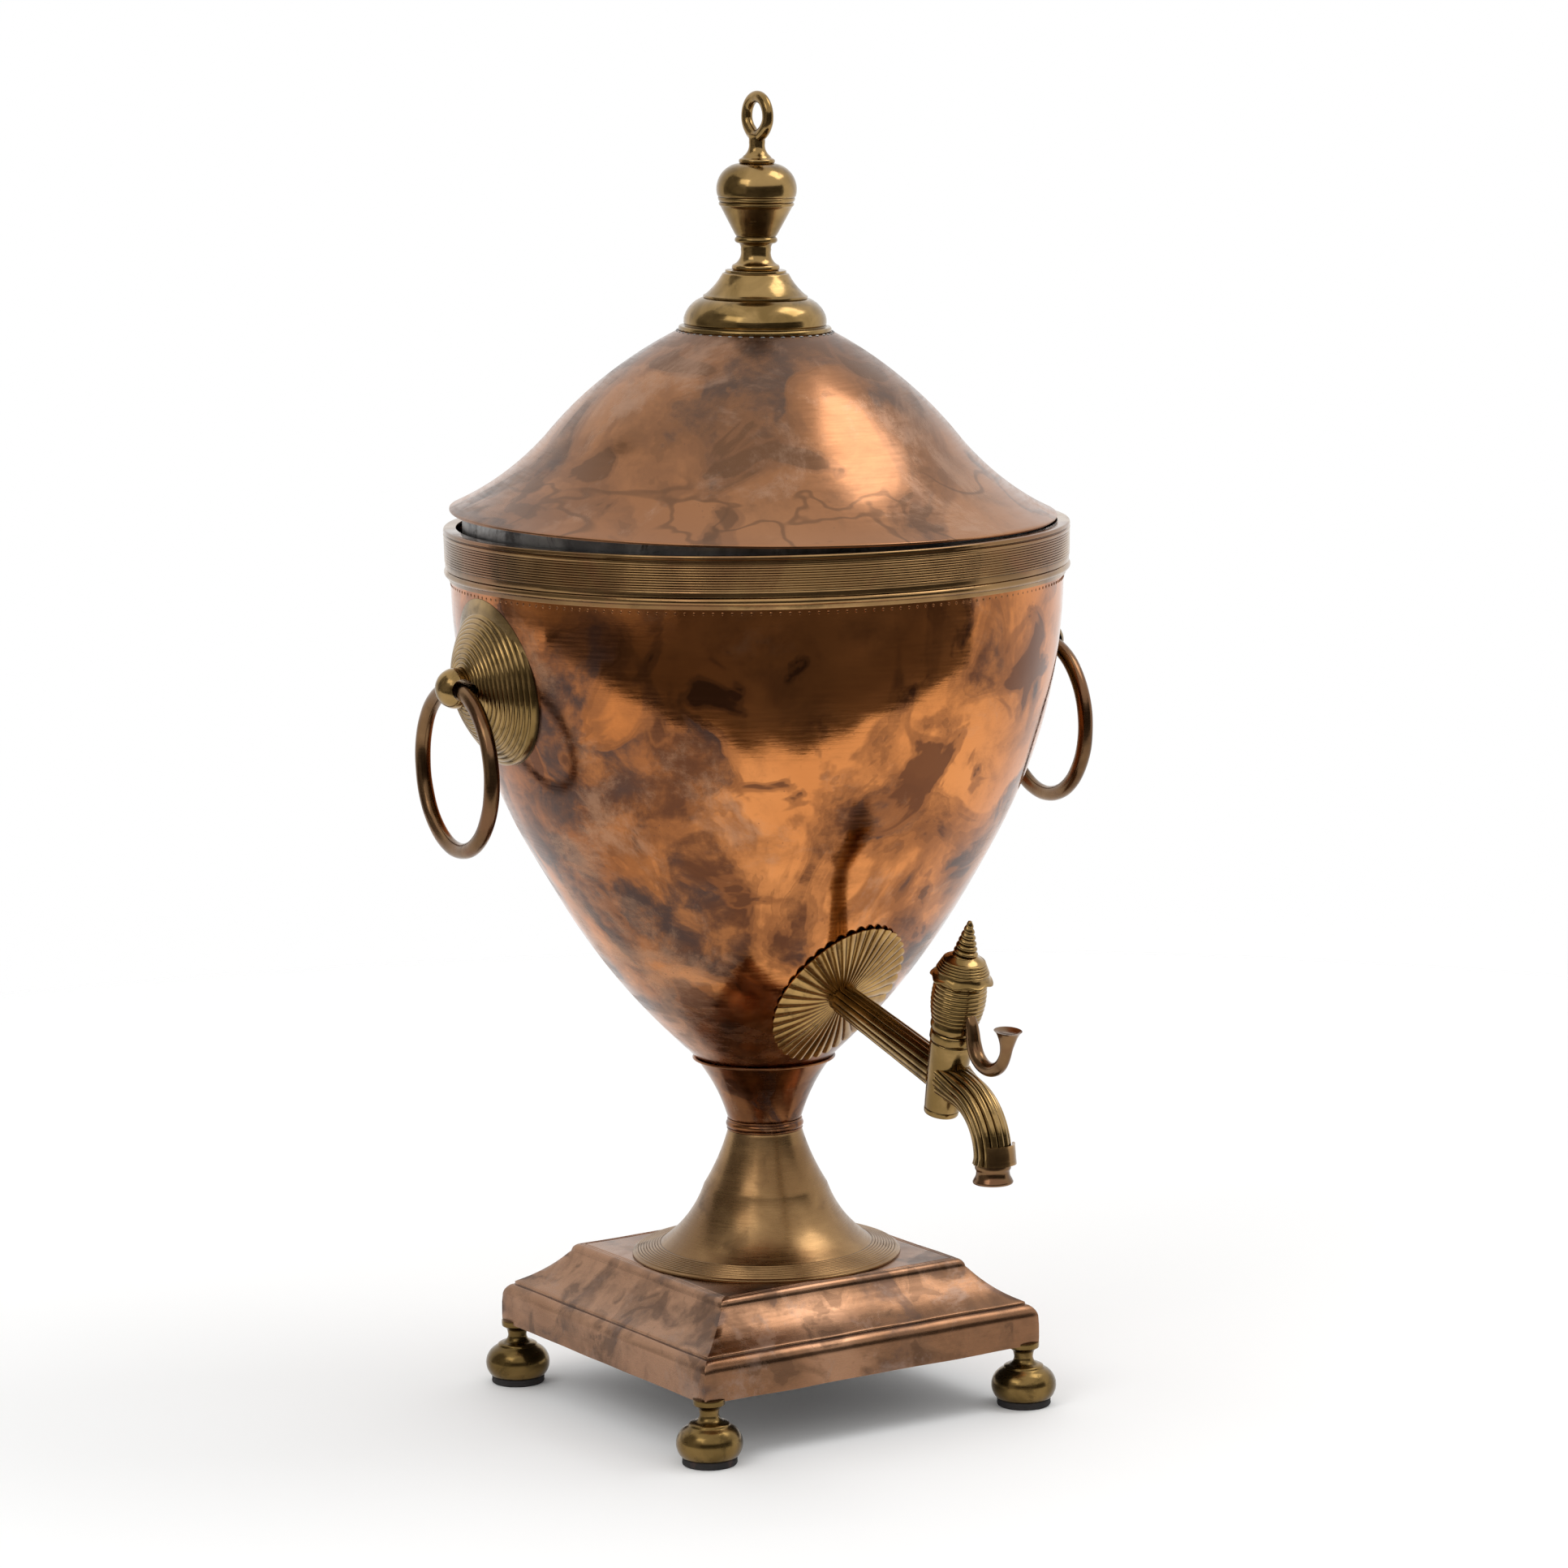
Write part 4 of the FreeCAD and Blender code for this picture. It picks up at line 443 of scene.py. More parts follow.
class Graph:
    """Node tree of one procedural material."""

    def __init__(self, name: str) -> None:
        """Starts a material with its shader and its Object coordinates.

        Args:
            name: Name of the material.
        """
        self.material = bpy.data.materials.new(name)
        self.material.use_nodes = True
        self.tree = self.material.node_tree
        self.shader = next(n for n in self.tree.nodes if n.type == "BSDF_PRINCIPLED")
        self.place = self.tree.nodes.new("ShaderNodeTexCoord").outputs["Object"]

    def _set(self, socket: bpy.types.NodeSocket, value: object) -> None:
        """Links a socket to another, or gives it a plain number or colour.

        Args:
            socket: Socket to set.
            value: Another node's output, a number or a colour.
        """
        if isinstance(value, bpy.types.NodeSocket):
            self.tree.links.new(value, socket)
        elif isinstance(value, tuple) and len(value) == 3 and socket.type == "RGBA":
            socket.default_value = (*value, 1.0)
        else:
            socket.default_value = value

    def stretched(self, x: float, y: float, z: float) -> bpy.types.NodeSocket:
        """Scales the Object coordinates.

        Args:
            x: Scale along X.
            y: Scale along Y.
            z: Scale along Z.

        Returns:
            The scaled coordinates.
        """
        node = self.tree.nodes.new("ShaderNodeMapping")
        node.inputs["Scale"].default_value = (x, y, z)
        self.tree.links.new(self.place, node.inputs["Vector"])
        return node.outputs[0]

    def noise(self, scale: float, detail: float = 4.0, rough: float = 0.55, twist: float = 0.0,
              place: Optional[bpy.types.NodeSocket] = None) -> bpy.types.NodeSocket:
        """Adds a noise.

        Args:
            scale: Waves in a metre.
            detail: Number of finer layers.
            rough: Strength of the finer layers.
            twist: How far the noise is distorted.
            place: Coordinates, where they aren't the plain Object coordinates.

        Returns:
            The noise's value.
        """
        node = self.tree.nodes.new("ShaderNodeTexNoise")
        self.tree.links.new(place or self.place, node.inputs["Vector"])
        settings = {"Scale": scale, "Detail": detail, "Roughness": rough, "Distortion": twist}
        for name, value in settings.items():
            node.inputs[name].default_value = value
        return node.outputs[0]

    def cells(self, scale: float) -> bpy.types.NodeSocket:
        """Adds scattered points.

        Args:
            scale: Points in a metre.

        Returns:
            The distance to the nearest point.
        """
        node = self.tree.nodes.new("ShaderNodeTexVoronoi")
        self.tree.links.new(self.place, node.inputs["Vector"])
        node.inputs["Scale"].default_value = scale
        return node.outputs["Distance"]

    def share(self, value: bpy.types.NodeSocket, low: float, high: float, start: float = 0.0,
              end: float = 1.0) -> bpy.types.NodeSocket:
        """Maps a value smoothly from one range to another.

        Args:
            value: Value to map.
            low: Value at which the result starts to change.
            high: Value at which it stops.
            start: Result at low and before it.
            end: Result at high and past it.

        Returns:
            The mapped value.
        """
        node = self.tree.nodes.new("ShaderNodeMapRange")
        node.interpolation_type = "SMOOTHSTEP"
        self._set(node.inputs["Value"], value)
        for name, item in {"From Min": low, "From Max": high, "To Min": start, "To Max": end}.items():
            self._set(node.inputs[name], item)
        return node.outputs[0]

    def plus(self, first: object, second: object) -> bpy.types.NodeSocket:
        """Sum of two values."""
        return self._maths("ADD", first, second)

    def less(self, first: object, second: object) -> bpy.types.NodeSocket:
        """First value less the second."""
        return self._maths("SUBTRACT", first, second)

    def times(self, first: object, second: object) -> bpy.types.NodeSocket:
        """Product of two values."""
        return self._maths("MULTIPLY", first, second)

    def _maths(self, kind: str, first: object, second: object) -> bpy.types.NodeSocket:
        """Adds arithmetic on two values.

        Args:
            kind: Operation of the Math node.
            first: First value.
            second: Second value.

        Returns:
            The result.
        """
        node = self.tree.nodes.new("ShaderNodeMath")
        node.operation = kind
        self._set(node.inputs[0], first)
        self._set(node.inputs[1], second)
        return node.outputs[0]

    def mix(self, share: object, first: object, second: object) -> bpy.types.NodeSocket:
        """Blends two colours.

        Args:
            share: Share of the second colour.
            first: First colour.
            second: Second colour.

        Returns:
            The blended colour.
        """
        node = self.tree.nodes.new("ShaderNodeMix")
        node.data_type = "RGBA"
        self._set(node.inputs[0], share)
        self._set(node.inputs[6], first)
        self._set(node.inputs[7], second)
        return node.outputs[2]

    def relief(self) -> bpy.types.NodeSocket:
        """Reads the relief that is stored on the mesh.

        Returns:
            The relief, from -1 in a hollow to 1 on a ridge.
        """
        node = self.tree.nodes.new("ShaderNodeAttribute")
        node.attribute_name = "relief"
        return node.outputs["Fac"]

    def along(self, direction: tuple[float, float, float]) -> bpy.types.NodeSocket:
        """Measures how far a point lies along a direction.

        Args:
            direction: Direction, whose length multiplies the result.

        Returns:
            The distance in metres times the direction's length.
        """
        node = self._of_place("DOT_PRODUCT")
        node.inputs[1].default_value = direction
        return node.outputs["Value"]

    def reach(self) -> bpy.types.NodeSocket:
        """Distance from the origin."""
        return self._of_place("LENGTH").outputs["Value"]

    def _of_place(self, kind: str) -> bpy.types.Node:
        """Adds vector arithmetic that starts from the Object coordinates.

        Args:
            kind: Operation of the Vector Math node.

        Returns:
            The node.
        """
        node = self.tree.nodes.new("ShaderNodeVectorMath")
        node.operation = kind
        self.tree.links.new(self.place, node.inputs[0])
        return node

    def bumped(self, layers: Sequence[tuple[bpy.types.NodeSocket, float]]) -> None:
        """Adds bump layers.

        Args:
            layers: Height of each layer and its depth in metres.
        """
        normal = None
        for value, depth in layers:
            node = self.tree.nodes.new("ShaderNodeBump")
            node.inputs["Strength"].default_value = 1.0
            node.inputs["Distance"].default_value = depth
            self.tree.links.new(value, node.inputs["Height"])
            if normal is not None:
                self.tree.links.new(normal, node.inputs["Normal"])
            normal = node.outputs[0]
        self.tree.links.new(normal, self.shader.inputs["Normal"])

    def dress(self, colour: object, rough: object, metallic: float = 1.0) -> bpy.types.Material:
        """Sets the shader's sockets.

        Args:
            colour: Base colour.
            rough: Roughness.
            metallic: 1 for bare metal, 0 for cloth and wood.

        Returns:
            The finished material.
        """
        self._set(self.shader.inputs["Base Color"], colour)
        self._set(self.shader.inputs["Roughness"], rough)
        self.shader.inputs["Metallic"].default_value = metallic
        return self.material


@dataclass(frozen=True)
class CopperFinish:
    """Old polished copper with tarnish clouds, tide lines and fine brushing.

    The first six colours go from clean metal to its darkest tarnish, and haze is its dry film. The
    clouds gather where a point lies further along lean than middle says.
    """

    name: str
    bright: Colour
    warm: Colour
    mid: Colour
    brown: Colour
    violet: Colour
    haze: Colour
    cloud: float
    cover: float
    gloss: float
    waves: float = 0.00035
    strength: float = 1.0
    lines: float = 0.0
    line_top: float = 0.398
    line_foot: float = 0.386
    lean: tuple[float, float, float] = (0.0, 0.0, 0.0)
    middle: float = 0.0

    def build(self) -> bpy.types.Material:
        """Builds the material.

        Returns:
            The copper material.
        """
        g = Graph(self.name)
        wide = g.noise(self.cloud * 0.45, 3.0, 0.5, 0.5)
        colour = g.mix(g.share(wide, 0.38, 0.62), self.bright, self.warm)
        smear = g.noise(self.cloud * 2.4, 7.0, 0.66, 0.3)
        colour = g.mix(g.share(smear, 0.44, 0.74, 0.0, 0.55), colour, self.brown)
        bias = g.less(g.along(self.lean), self.middle)
        cloud = g.plus(g.noise(self.cloud, 5.0, 0.5, 0.9), bias)
        edge = 0.6 - 0.1 * self.cover
        texture = g.share(g.noise(self.cloud * 3.6, 7.0, 0.64, 0.3), 0.34, 0.62, 0.35, 1.0)
        wash = g.times(g.share(cloud, edge - 0.06, edge - 0.02, 0.0, 0.85 * self.strength), texture)
        colour = g.mix(wash, colour, self.mid)
        patch = g.times(g.share(cloud, edge + 0.005, edge + 0.04, 0.0, self.strength), texture)
        tone = g.mix(g.share(g.noise(self.cloud * 1.3, 3.0), 0.42, 0.6), self.brown, self.violet)
        colour = g.mix(patch, colour, tone)
        rim = g.times(g.share(cloud, edge - 0.003, edge + 0.003),
                      g.share(cloud, edge + 0.022, edge + 0.01))
        colour = g.mix(g.times(rim, 0.3 * self.strength), colour, self.brown)
        small = g.noise(self.cloud * 2.2, 4.0, 0.5, 0.6)
        colour = g.mix(g.share(small, 0.56, 0.6, 0.0, 0.7 * self.strength), colour, self.mid)
        colour = g.mix(g.share(small, 0.61, 0.64, 0.0, 0.85 * self.strength), colour, self.brown)
        film = g.share(g.plus(g.noise(self.cloud * 1.5, 8.0, 0.72, 0.4), bias), 0.52, 0.7, 0.0, 0.5)
        colour = g.mix(film, colour, self.haze)
        if self.lines:
            tide = g.noise(self.cloud * 1.1, 3.0, 0.5, 0.3, g.stretched(1.0, 1.0, 2.2))
            line = g.times(g.share(tide, 0.47, 0.485), g.share(tide, 0.505, 0.492))
            height = g.along((0.0, 0.0, 1.0))
            line = g.times(line, g.share(height, self.line_top, self.line_foot, 0.0, self.lines))
            colour = g.mix(line, colour, self.brown)
        speck = g.share(g.cells(420.0), 0.16, 0.07, 0.0, 1.0)
        scattered = g.share(g.noise(60.0, 3.0), 0.52, 0.66)
        colour = g.mix(g.times(g.times(speck, scattered), 0.55), colour, self.violet)
        relief = g.relief()
        colour = g.mix(g.share(relief, -0.04, -0.3, 0.0, 0.7), colour, self.violet)
        colour = g.mix(g.share(relief, 0.05, 0.4, 0.0, 0.5), colour, self.bright)
        brushed = g.noise(900.0, 3.0, 0.6, 0.0, g.stretched(0.06, 0.06, 1.0))
        rough = g.share(brushed, 0.3, 0.7, self.gloss - 0.03, self.gloss + 0.05)
        rough = g.plus(rough, g.times(patch, 0.12))
        rough = g.plus(rough, g.times(film, 0.3))
        g.bumped([
            (g.noise(24.0, 2.0, 0.5), self.waves),
            (brushed, 0.000012),
            (g.noise(700.0, 5.0, 0.6), 0.00001),
        ])
        return g.dress(colour, rough)


@dataclass(frozen=True)
class BrassFinish:
    """Cast and turned brass, rubbed on its ridges, with grime and painted shade darkening its hollows."""

    name: str
    bright: Colour
    olive: Colour
    # Darkest colour: grime in stains and pits, and also painted shade in the hollows.
    dirt_and_shade: Colour
    gloss: float
    cloud: float = 45.0
    blush: Optional[Colour] = None

    def build(self) -> bpy.types.Material:
        """Builds the material.

        Returns:
            The brass material.
        """
        g = Graph(self.name)
        wide = g.noise(self.cloud, 4.0, 0.55, 0.7)
        colour = g.mix(g.share(wide, 0.36, 0.64), self.bright, self.olive)
        if self.blush:
            flush = g.share(g.noise(self.cloud * 0.8, 5.0, 0.6, 1.2), 0.5, 0.62, 0.0, 0.75)
            colour = g.mix(flush, colour, self.blush)
        stain = g.share(g.noise(self.cloud * 2.4, 6.0, 0.62, 0.4), 0.54, 0.74, 0.0, 0.5)
        colour = g.mix(stain, colour, self.dirt_and_shade)
        relief = g.relief()
        # Hollows are darkened towards the darkest colour: painted shade in the creases as well as grime.
        hollow = g.share(relief, -0.03, -0.28, 0.0, 0.88)
        worn = g.share(relief, 0.06, 0.4, 0.0, 0.6)
        colour = g.mix(worn, colour, self.bright)
        colour = g.mix(hollow, colour, self.dirt_and_shade)
        pits = g.share(g.cells(900.0), 0.2, 0.1)
        sown = g.share(g.noise(120.0, 3.0), 0.54, 0.66)
        colour = g.mix(g.times(g.times(pits, sown), 0.6), colour, self.dirt_and_shade)
        turned = g.noise(1500.0, 3.0, 0.6, 0.0, g.stretched(0.05, 0.05, 1.0))
        rough = g.share(turned, 0.3, 0.7, self.gloss - 0.03, self.gloss + 0.05)
        rough = g.plus(rough, g.times(stain, 0.25))
        rough = g.plus(rough, g.times(hollow, 0.25))
        g.bumped([
            (g.noise(90.0, 3.0, 0.5), 0.0001),
            (turned, 0.000004),
            (g.noise(900.0, 4.0, 0.6), 0.000006),
        ])
        return g.dress(colour, rough)


@dataclass(frozen=True)
class PlainFinish:
    """Tin, iron, steel, felt or leather: two tones, grain and a third tone in patches."""

    name: str
    light: Colour
    dark: Colour
    patch: Colour
    rough: float
    metallic: float
    grain: float
    depth: float

    def build(self) -> bpy.types.Material:
        """Builds the material.

        Returns:
            The material.
        """
        g = Graph(self.name)
        colour = g.mix(g.share(g.noise(40.0, 5.0, 0.6, 0.5), 0.36, 0.64), self.light, self.dark)
        spots = g.share(g.noise(95.0, 6.0, 0.65, 0.6), 0.54, 0.68, 0.0, 0.8)
        colour = g.mix(spots, colour, self.patch)
        grain = g.noise(self.grain, 5.0, 0.62)
        rough = g.plus(g.share(grain, 0.3, 0.7, self.rough - 0.06, self.rough + 0.06),
                       g.times(spots, 0.12))
        g.bumped([(g.noise(self.grain * 0.2, 3.0), self.depth * 3), (grain, self.depth)])
        return g.dress(colour, rough, self.metallic)


class Finishes:
    """One material for each slot, and a few that only one or two pieces have."""

    def __init__(self) -> None:
        """Builds the materials."""
        self.copper = CopperFinish(
            "bowl_copper", bright=(0.72, 0.28, 0.088), warm=(0.55, 0.19, 0.053), mid=(0.27, 0.10, 0.037),
            brown=(0.13, 0.05, 0.024), violet=(0.085, 0.05, 0.04), haze=(0.52, 0.29, 0.17),
            cloud=14.0, cover=0.75, gloss=0.1, waves=0.0005, lean=(-0.3, 0.19, -0.6), middle=-0.162,
        ).build()
        self.lid_copper = CopperFinish(
            "lid_copper", bright=(0.46, 0.225, 0.11), warm=(0.32, 0.145, 0.068), mid=(0.22, 0.105, 0.055),
            brown=(0.14, 0.072, 0.04), violet=(0.09, 0.062, 0.05), haze=(0.46, 0.29, 0.20),
            cloud=12.0, cover=0.55, gloss=0.2, strength=0.85, lines=0.6, lean=(0.0, 0.0, 1.1),
            middle=0.445,
        ).build()
        self.stem_copper = CopperFinish(
            "stem_copper", bright=(0.30, 0.13, 0.05), warm=(0.20, 0.08, 0.03), mid=(0.14, 0.057, 0.024),
            brown=(0.09, 0.038, 0.018), violet=(0.07, 0.038, 0.03), haze=(0.30, 0.17, 0.10),
            cloud=40.0, cover=0.3, gloss=0.17,
        ).build()
        self.dark_copper = CopperFinish(
            "plinth_copper", bright=(0.35, 0.19, 0.11), warm=(0.23, 0.115, 0.06), mid=(0.17, 0.09, 0.05),
            brown=(0.10, 0.053, 0.031), violet=(0.08, 0.052, 0.043), haze=(0.38, 0.26, 0.20),
            cloud=30.0, cover=0.5, gloss=0.25, strength=0.6,
        ).build()
        # Each brass's darkest colour is its grime and also the painted shade of its hollows.
        self.brass = BrassFinish(
            "old_brass", bright=(0.36, 0.23, 0.09), olive=(0.20, 0.125, 0.043),
            dirt_and_shade=(0.032, 0.02, 0.009), gloss=0.17,
        ).build()
        # Warmer, more golden brass for the rosette: its own brass tone plus a painted reflection of the
        # copper bowl it lies on.
        self.brass_with_painted_bowl_reflection = BrassFinish(
            "rosette_brass", bright=(0.46, 0.28, 0.10), olive=(0.28, 0.16, 0.055),
            dirt_and_shade=(0.035, 0.02, 0.01), gloss=0.2,
        ).build()
        self.foot_brass = BrassFinish(
            "foot_brass", bright=(0.23, 0.145, 0.05), olive=(0.12, 0.076, 0.025),
            dirt_and_shade=(0.028, 0.018, 0.008), gloss=0.22,
        ).build()
        self.stem_brass = BrassFinish(
            "stem_brass", bright=(0.33, 0.195, 0.085), olive=(0.20, 0.11, 0.046),
            dirt_and_shade=(0.055, 0.032, 0.017), gloss=0.27, cloud=22.0,
        ).build()
        self.rim_brass = BrassFinish(
            "rim_brass", bright=(0.40, 0.24, 0.10), olive=(0.17, 0.095, 0.04),
            dirt_and_shade=(0.03, 0.018, 0.009), gloss=0.15, cloud=12.0, blush=(0.24, 0.11, 0.052),
        ).build()
        self.ring_brass = BrassFinish(
            "ring_brass", bright=(0.22, 0.125, 0.058), olive=(0.12, 0.064, 0.03),
            dirt_and_shade=(0.04, 0.023, 0.013), gloss=0.2, cloud=30.0, blush=(0.17, 0.08, 0.042),
        ).build()
        self.tin = PlainFinish(
            "old_tin", light=(0.36, 0.35, 0.34), dark=(0.17, 0.165, 0.165), patch=(0.08, 0.075, 0.07),
            rough=0.45, metallic=1.0, grain=500.0, depth=0.00002,
        ).build()
        self.iron = PlainFinish(
            "cast_iron", light=(0.10, 0.09, 0.085), dark=(0.05, 0.045, 0.042), patch=(0.17, 0.07, 0.035),
            rough=0.62, metallic=0.6, grain=600.0, depth=0.00006,
        ).build()
        self.steel = PlainFinish(
            "old_steel", light=(0.32, 0.31, 0.30), dark=(0.18, 0.17, 0.16), patch=(0.15, 0.08, 0.05),
            rough=0.42, metallic=1.0, grain=800.0, depth=0.00002,
        ).build()
        self.felt = PlainFinish(
            "black_felt", light=(0.022, 0.018, 0.017), dark=(0.010, 0.009, 0.009),
            patch=(0.06, 0.035, 0.03), rough=0.9, metallic=0.0, grain=1800.0, depth=0.00012,
        ).build()
        self.leather = PlainFinish(
            "leather", light=(0.17, 0.085, 0.04), dark=(0.09, 0.045, 0.022), patch=(0.05, 0.028, 0.015),
            rough=0.6, metallic=0.0, grain=900.0, depth=0.00005,
        ).build()

    def for_slot(self, slot: str) -> bpy.types.Material:
        """Chooses the material of a CAD node that is kept from the frame.

        Args:
            slot: Name of the node's slot.

        Returns:
            The slot's material.
        """
        return {
            Slot.COPPER: self.copper,
            Slot.DARK_COPPER: self.dark_copper,
            Slot.BRASS: self.brass,
            Slot.WORN_BRASS: self.ring_brass,
            Slot.TIN: self.tin,
            Slot.IRON: self.iron,
            Slot.STEEL: self.steel,
            Slot.FELT: self.felt,
            Slot.LEATHER: self.leather,
        }[Slot(slot)]


class SubAssembly(Generic[Sizes]):
    """Pieces that share one set of sizes, and the finishes that they take theirs from."""

    def __init__(self, sizes: Sizes, finishes: Finishes) -> None:
        """Keeps the sizes and the finishes."""
        self.sizes = sizes
        self.finishes = finishes

    def build(self) -> None:
        """Builds every piece; each sub-assembly has its own."""
        raise NotImplementedError


WORLD = Matrix.Identity(4)


@dataclass(frozen=True)
class BowlWall:
    """Outside of the bowl as radius against height: two arcs with a straight run between."""

    low_centre: Pair = (-165.2, 358.0)
    low_reach: float = 288.0
    flank: Pair = (84.25, 214.0)
    waist: Pair = (95.0, 233.0)
    high_centre: Pair = (-107.3, 347.4)
    high_reach: float = 232.4
    straight: float = 345.0
    top_radius: float = 125.1
    farthest: float = 90.0
    halvings: int = 36

    def radius(self, height: float) -> float:
        """Works out how wide the wall is.

        Args:
            height: Height above the table.

        Returns:
            The wall's radius there.
        """
        if height < self.flank[1]:
            rise = height - self.low_centre[1]
            return self.low_centre[0] + math.sqrt(max(self.low_reach**2 - rise**2, 0.0))
        if height < self.waist[1]:
            share = (height - self.flank[1]) / (self.waist[1] - self.flank[1])
            return self.flank[0] + (self.waist[0] - self.flank[0]) * share
        if height < self.straight:
            rise = height - self.high_centre[1]
            return self.high_centre[0] + math.sqrt(self.high_reach**2 - rise**2)
        return self.top_radius

    def depth(self, start: Vector, direction: Vector) -> float:
        """Finds how far a point is from the wall by halving the distance again and again.

        Args:
            start: Point outside the wall.
            direction: Unit vector towards the wall.

        Returns:
            Distance to the wall.
        """
        low, high = 0.0, self.farthest
        for _ in range(self.halvings):
            middle = (low + high) / 2
            spot = start + direction * middle
            if math.hypot(spot.x, spot.y) > self.radius(spot.z):
                low = middle
            else:
                high = middle
        return low


WALL = BowlWall()


@dataclass(frozen=True)
class BaseSizes:
    """Plinth, feet and stem."""

    foot_reach: float = 76.6
    mitre_edge: float = 0.5
    long_edge: float = 6.0
    edge_cuts: int = 40
    stem_reeds: int = 9
    pad_fray: float = 0.012


class Base(SubAssembly[BaseSizes]):
    """Square moulded plinth on bun feet, and the stem that carries the bowl."""

    def build(self) -> None:
        """Builds the plinth, the feet and the stem."""
        self.plinth()
        reach = self.sizes.foot_reach
        for end, y in (("front", -reach), ("back", reach)):
            for side, x in (("left", -reach), ("right", reach)):
                spot = Matrix.Translation((x, y, 0))
                self.foot(f"foot_{end}_{side}", spot)
                self.pad(f"pad_{end}_{side}", spot)
        self.stem_lower()
        self.stem_collar()
        self.stem_upper()

    def moulding(self) -> list[Pair]:
        """Draws the plinth's section, up its outside to the middle of its top, then back inside.

        Returns:
            Half width and height of the section's points.
        """
        line = Outline(81.2, 25.6).line(81.2, 37.0, 4).arc((80.5, 39.9), (78.2, 42.3), 8)
        line.line(77.3, 42.3).line(77.3, 43.5).arc((67.6, 49.4), (59.6, 57.7), 16)
        line.arc((58.9, 59.6), (57.4, 60.75), 6)
        for groove in (56.6, 55.2):
            line.line(groove + 0.35, 60.75).line(groove, 60.35).line(groove - 0.35, 60.75)
        line.line(8.0, 60.75).line(8.0, 59.5).line(56.0, 59.5).arc((57.6, 58.4), (58.3, 56.9), 4)
        line.arc((66.4, 48.3), (76.1, 42.3), 10).line(77.4, 41.0).arc((79.4, 38.7), (80.0, 36.6), 4)
        line.line(80.0, 25.6)
        return line.softened(0.3, True)

    def plinth(self) -> None:
        """Raises the moulding along four mitred sides."""
        piece = Piece("plinth_shell")
        section = self.moulding()
        corners = ((1, -1), (1, 1), (-1, 1), (-1, -1))
        rings = [[piece.bm.verts.new((x * half, y * half, z)) for x, y in corners] for half, z in section]
        for ring, above in zip(rings, rings[1:] + rings[:1]):
            for i in range(4):
                piece.bm.faces.new((ring[i], ring[(i + 1) % 4], above[(i + 1) % 4], above[i]))
        sides = {e for ring in rings for i in range(4) for e in ring[i].link_edges
                 if e.other_vert(ring[i]) in ring}
        mitres = [e for e in piece.bm.edges if e not in sides]
        bmesh.ops.bevel(piece.bm, geom=mitres, offset=self.sizes.mitre_edge, offset_type="OFFSET",
                        affect="EDGES", segments=2, profile=0.5, material=-1, clamp_overlap=True)
        long = [e for e in piece.bm.edges if e.calc_length() > self.sizes.long_edge]
        bmesh.ops.subdivide_edges(piece.bm, edges=long, cuts=self.sizes.edge_cuts, use_grid_fill=True)
        piece.dented(0.35, 26.0, 3.0)
        piece.finish(WORLD, Body.URN, Slot.DARK_COPPER, self.finishes.dark_copper, ["plinth_shell"])

    def foot(self, name: str, spot: Matrix) -> None:
        """Turned bun, waisted neck and flange.

        Args:
            name: Name of the foot.
            spot: Its place under the plinth.
        """
        line = Outline(0, 3.0).line(11.0, 3.0).arc((13.4, 9.2), (9.4, 15.4), 18).line(8.4, 16.0)
        line.line(8.2, 16.7).line(7.0, 17.3).arc((4.3, 18.9), (4.1, 21.6), 8)
        line.arc((4.5, 23.0), (5.6, 23.9), 4).line(6.4, 24.4).line(6.5, 25.5).line(6.5, 26.78)
        line.line(1.4, 26.78).line(1.4, 32.7).line(0, 32.7)
        piece = Piece(name).lathe(line, closed=False)
        piece.finish(spot, Body.URN, Slot.BRASS, self.finishes.foot_brass, [name])

    def pad(self, name: str, spot: Matrix) -> None:
        """Felt disc, slightly squashed and frayed at its edge.

        Args:
            name: Name of the pad.
            spot: Its place under the plinth.
        """
        line = Outline(0, 0.0).line(10.6, 0.0).arc((11.3, 0.8), (11.1, 1.6), 4)
        line.arc((11.2, 2.4), (10.9, 3.0), 4).line(0, 3.0)
        piece = Piece(name).lathe(line, closed=False, soft=0.3)
        fray = self.sizes.pad_fray
        piece.moved(lambda p: Vector((p.x, p.y, 0)) * (fray * noise.noise(p / 2.2) - fray))
        piece.finish(spot, Body.URN, Slot.FELT, self.finishes.felt, [name])

    def stem_lower(self) -> None:
        """Cast flare with fine reeds on its foot."""
        line = Outline(41.0, 60.75).line(55.8, 60.75).line(55.8, 61.75).line(54.6, 62.3)
        line.reeds(self.sizes.stem_reeds, 44.2, 65.2, 0.42).line(43.6, 65.7)
        line.arc((33.3, 75.6), (25.7, 89.75), 28).arc((19.3, 102.0), (15.4, 113.2), 22)
        line.line(4.4, 113.2).line(4.4, 110.0).line(12.2, 110.0).arc((16.0, 101.0), (22.5, 88.2), 8)
        line.arc((30.2, 74.0), (41.0, 63.0), 8)
        piece = Piece("stem_lower").lathe(line, steps=160).dented(0.08, 22.0, 5.0)
        piece.finish(WORLD, Body.URN, Slot.WORN_BRASS, self.finishes.stem_brass, ["stem_lower"])

    def stem_collar(self) -> None:
        """Three fine beads at the waist."""
        line = Outline(4.4, 113.25).line(15.4, 113.25).reeds(1, 15.4, 114.2, 0.4)
        line.reeds(1, 15.3, 117.1, 0.75).reeds(1, 15.2, 118.05, 0.35).line(4.4, 118.05)
        piece = Piece("stem_collar").lathe(line, steps=128)
        piece.finish(WORLD, Body.URN, Slot.BRASS, self.finishes.stem_copper, ["stem_collar"])

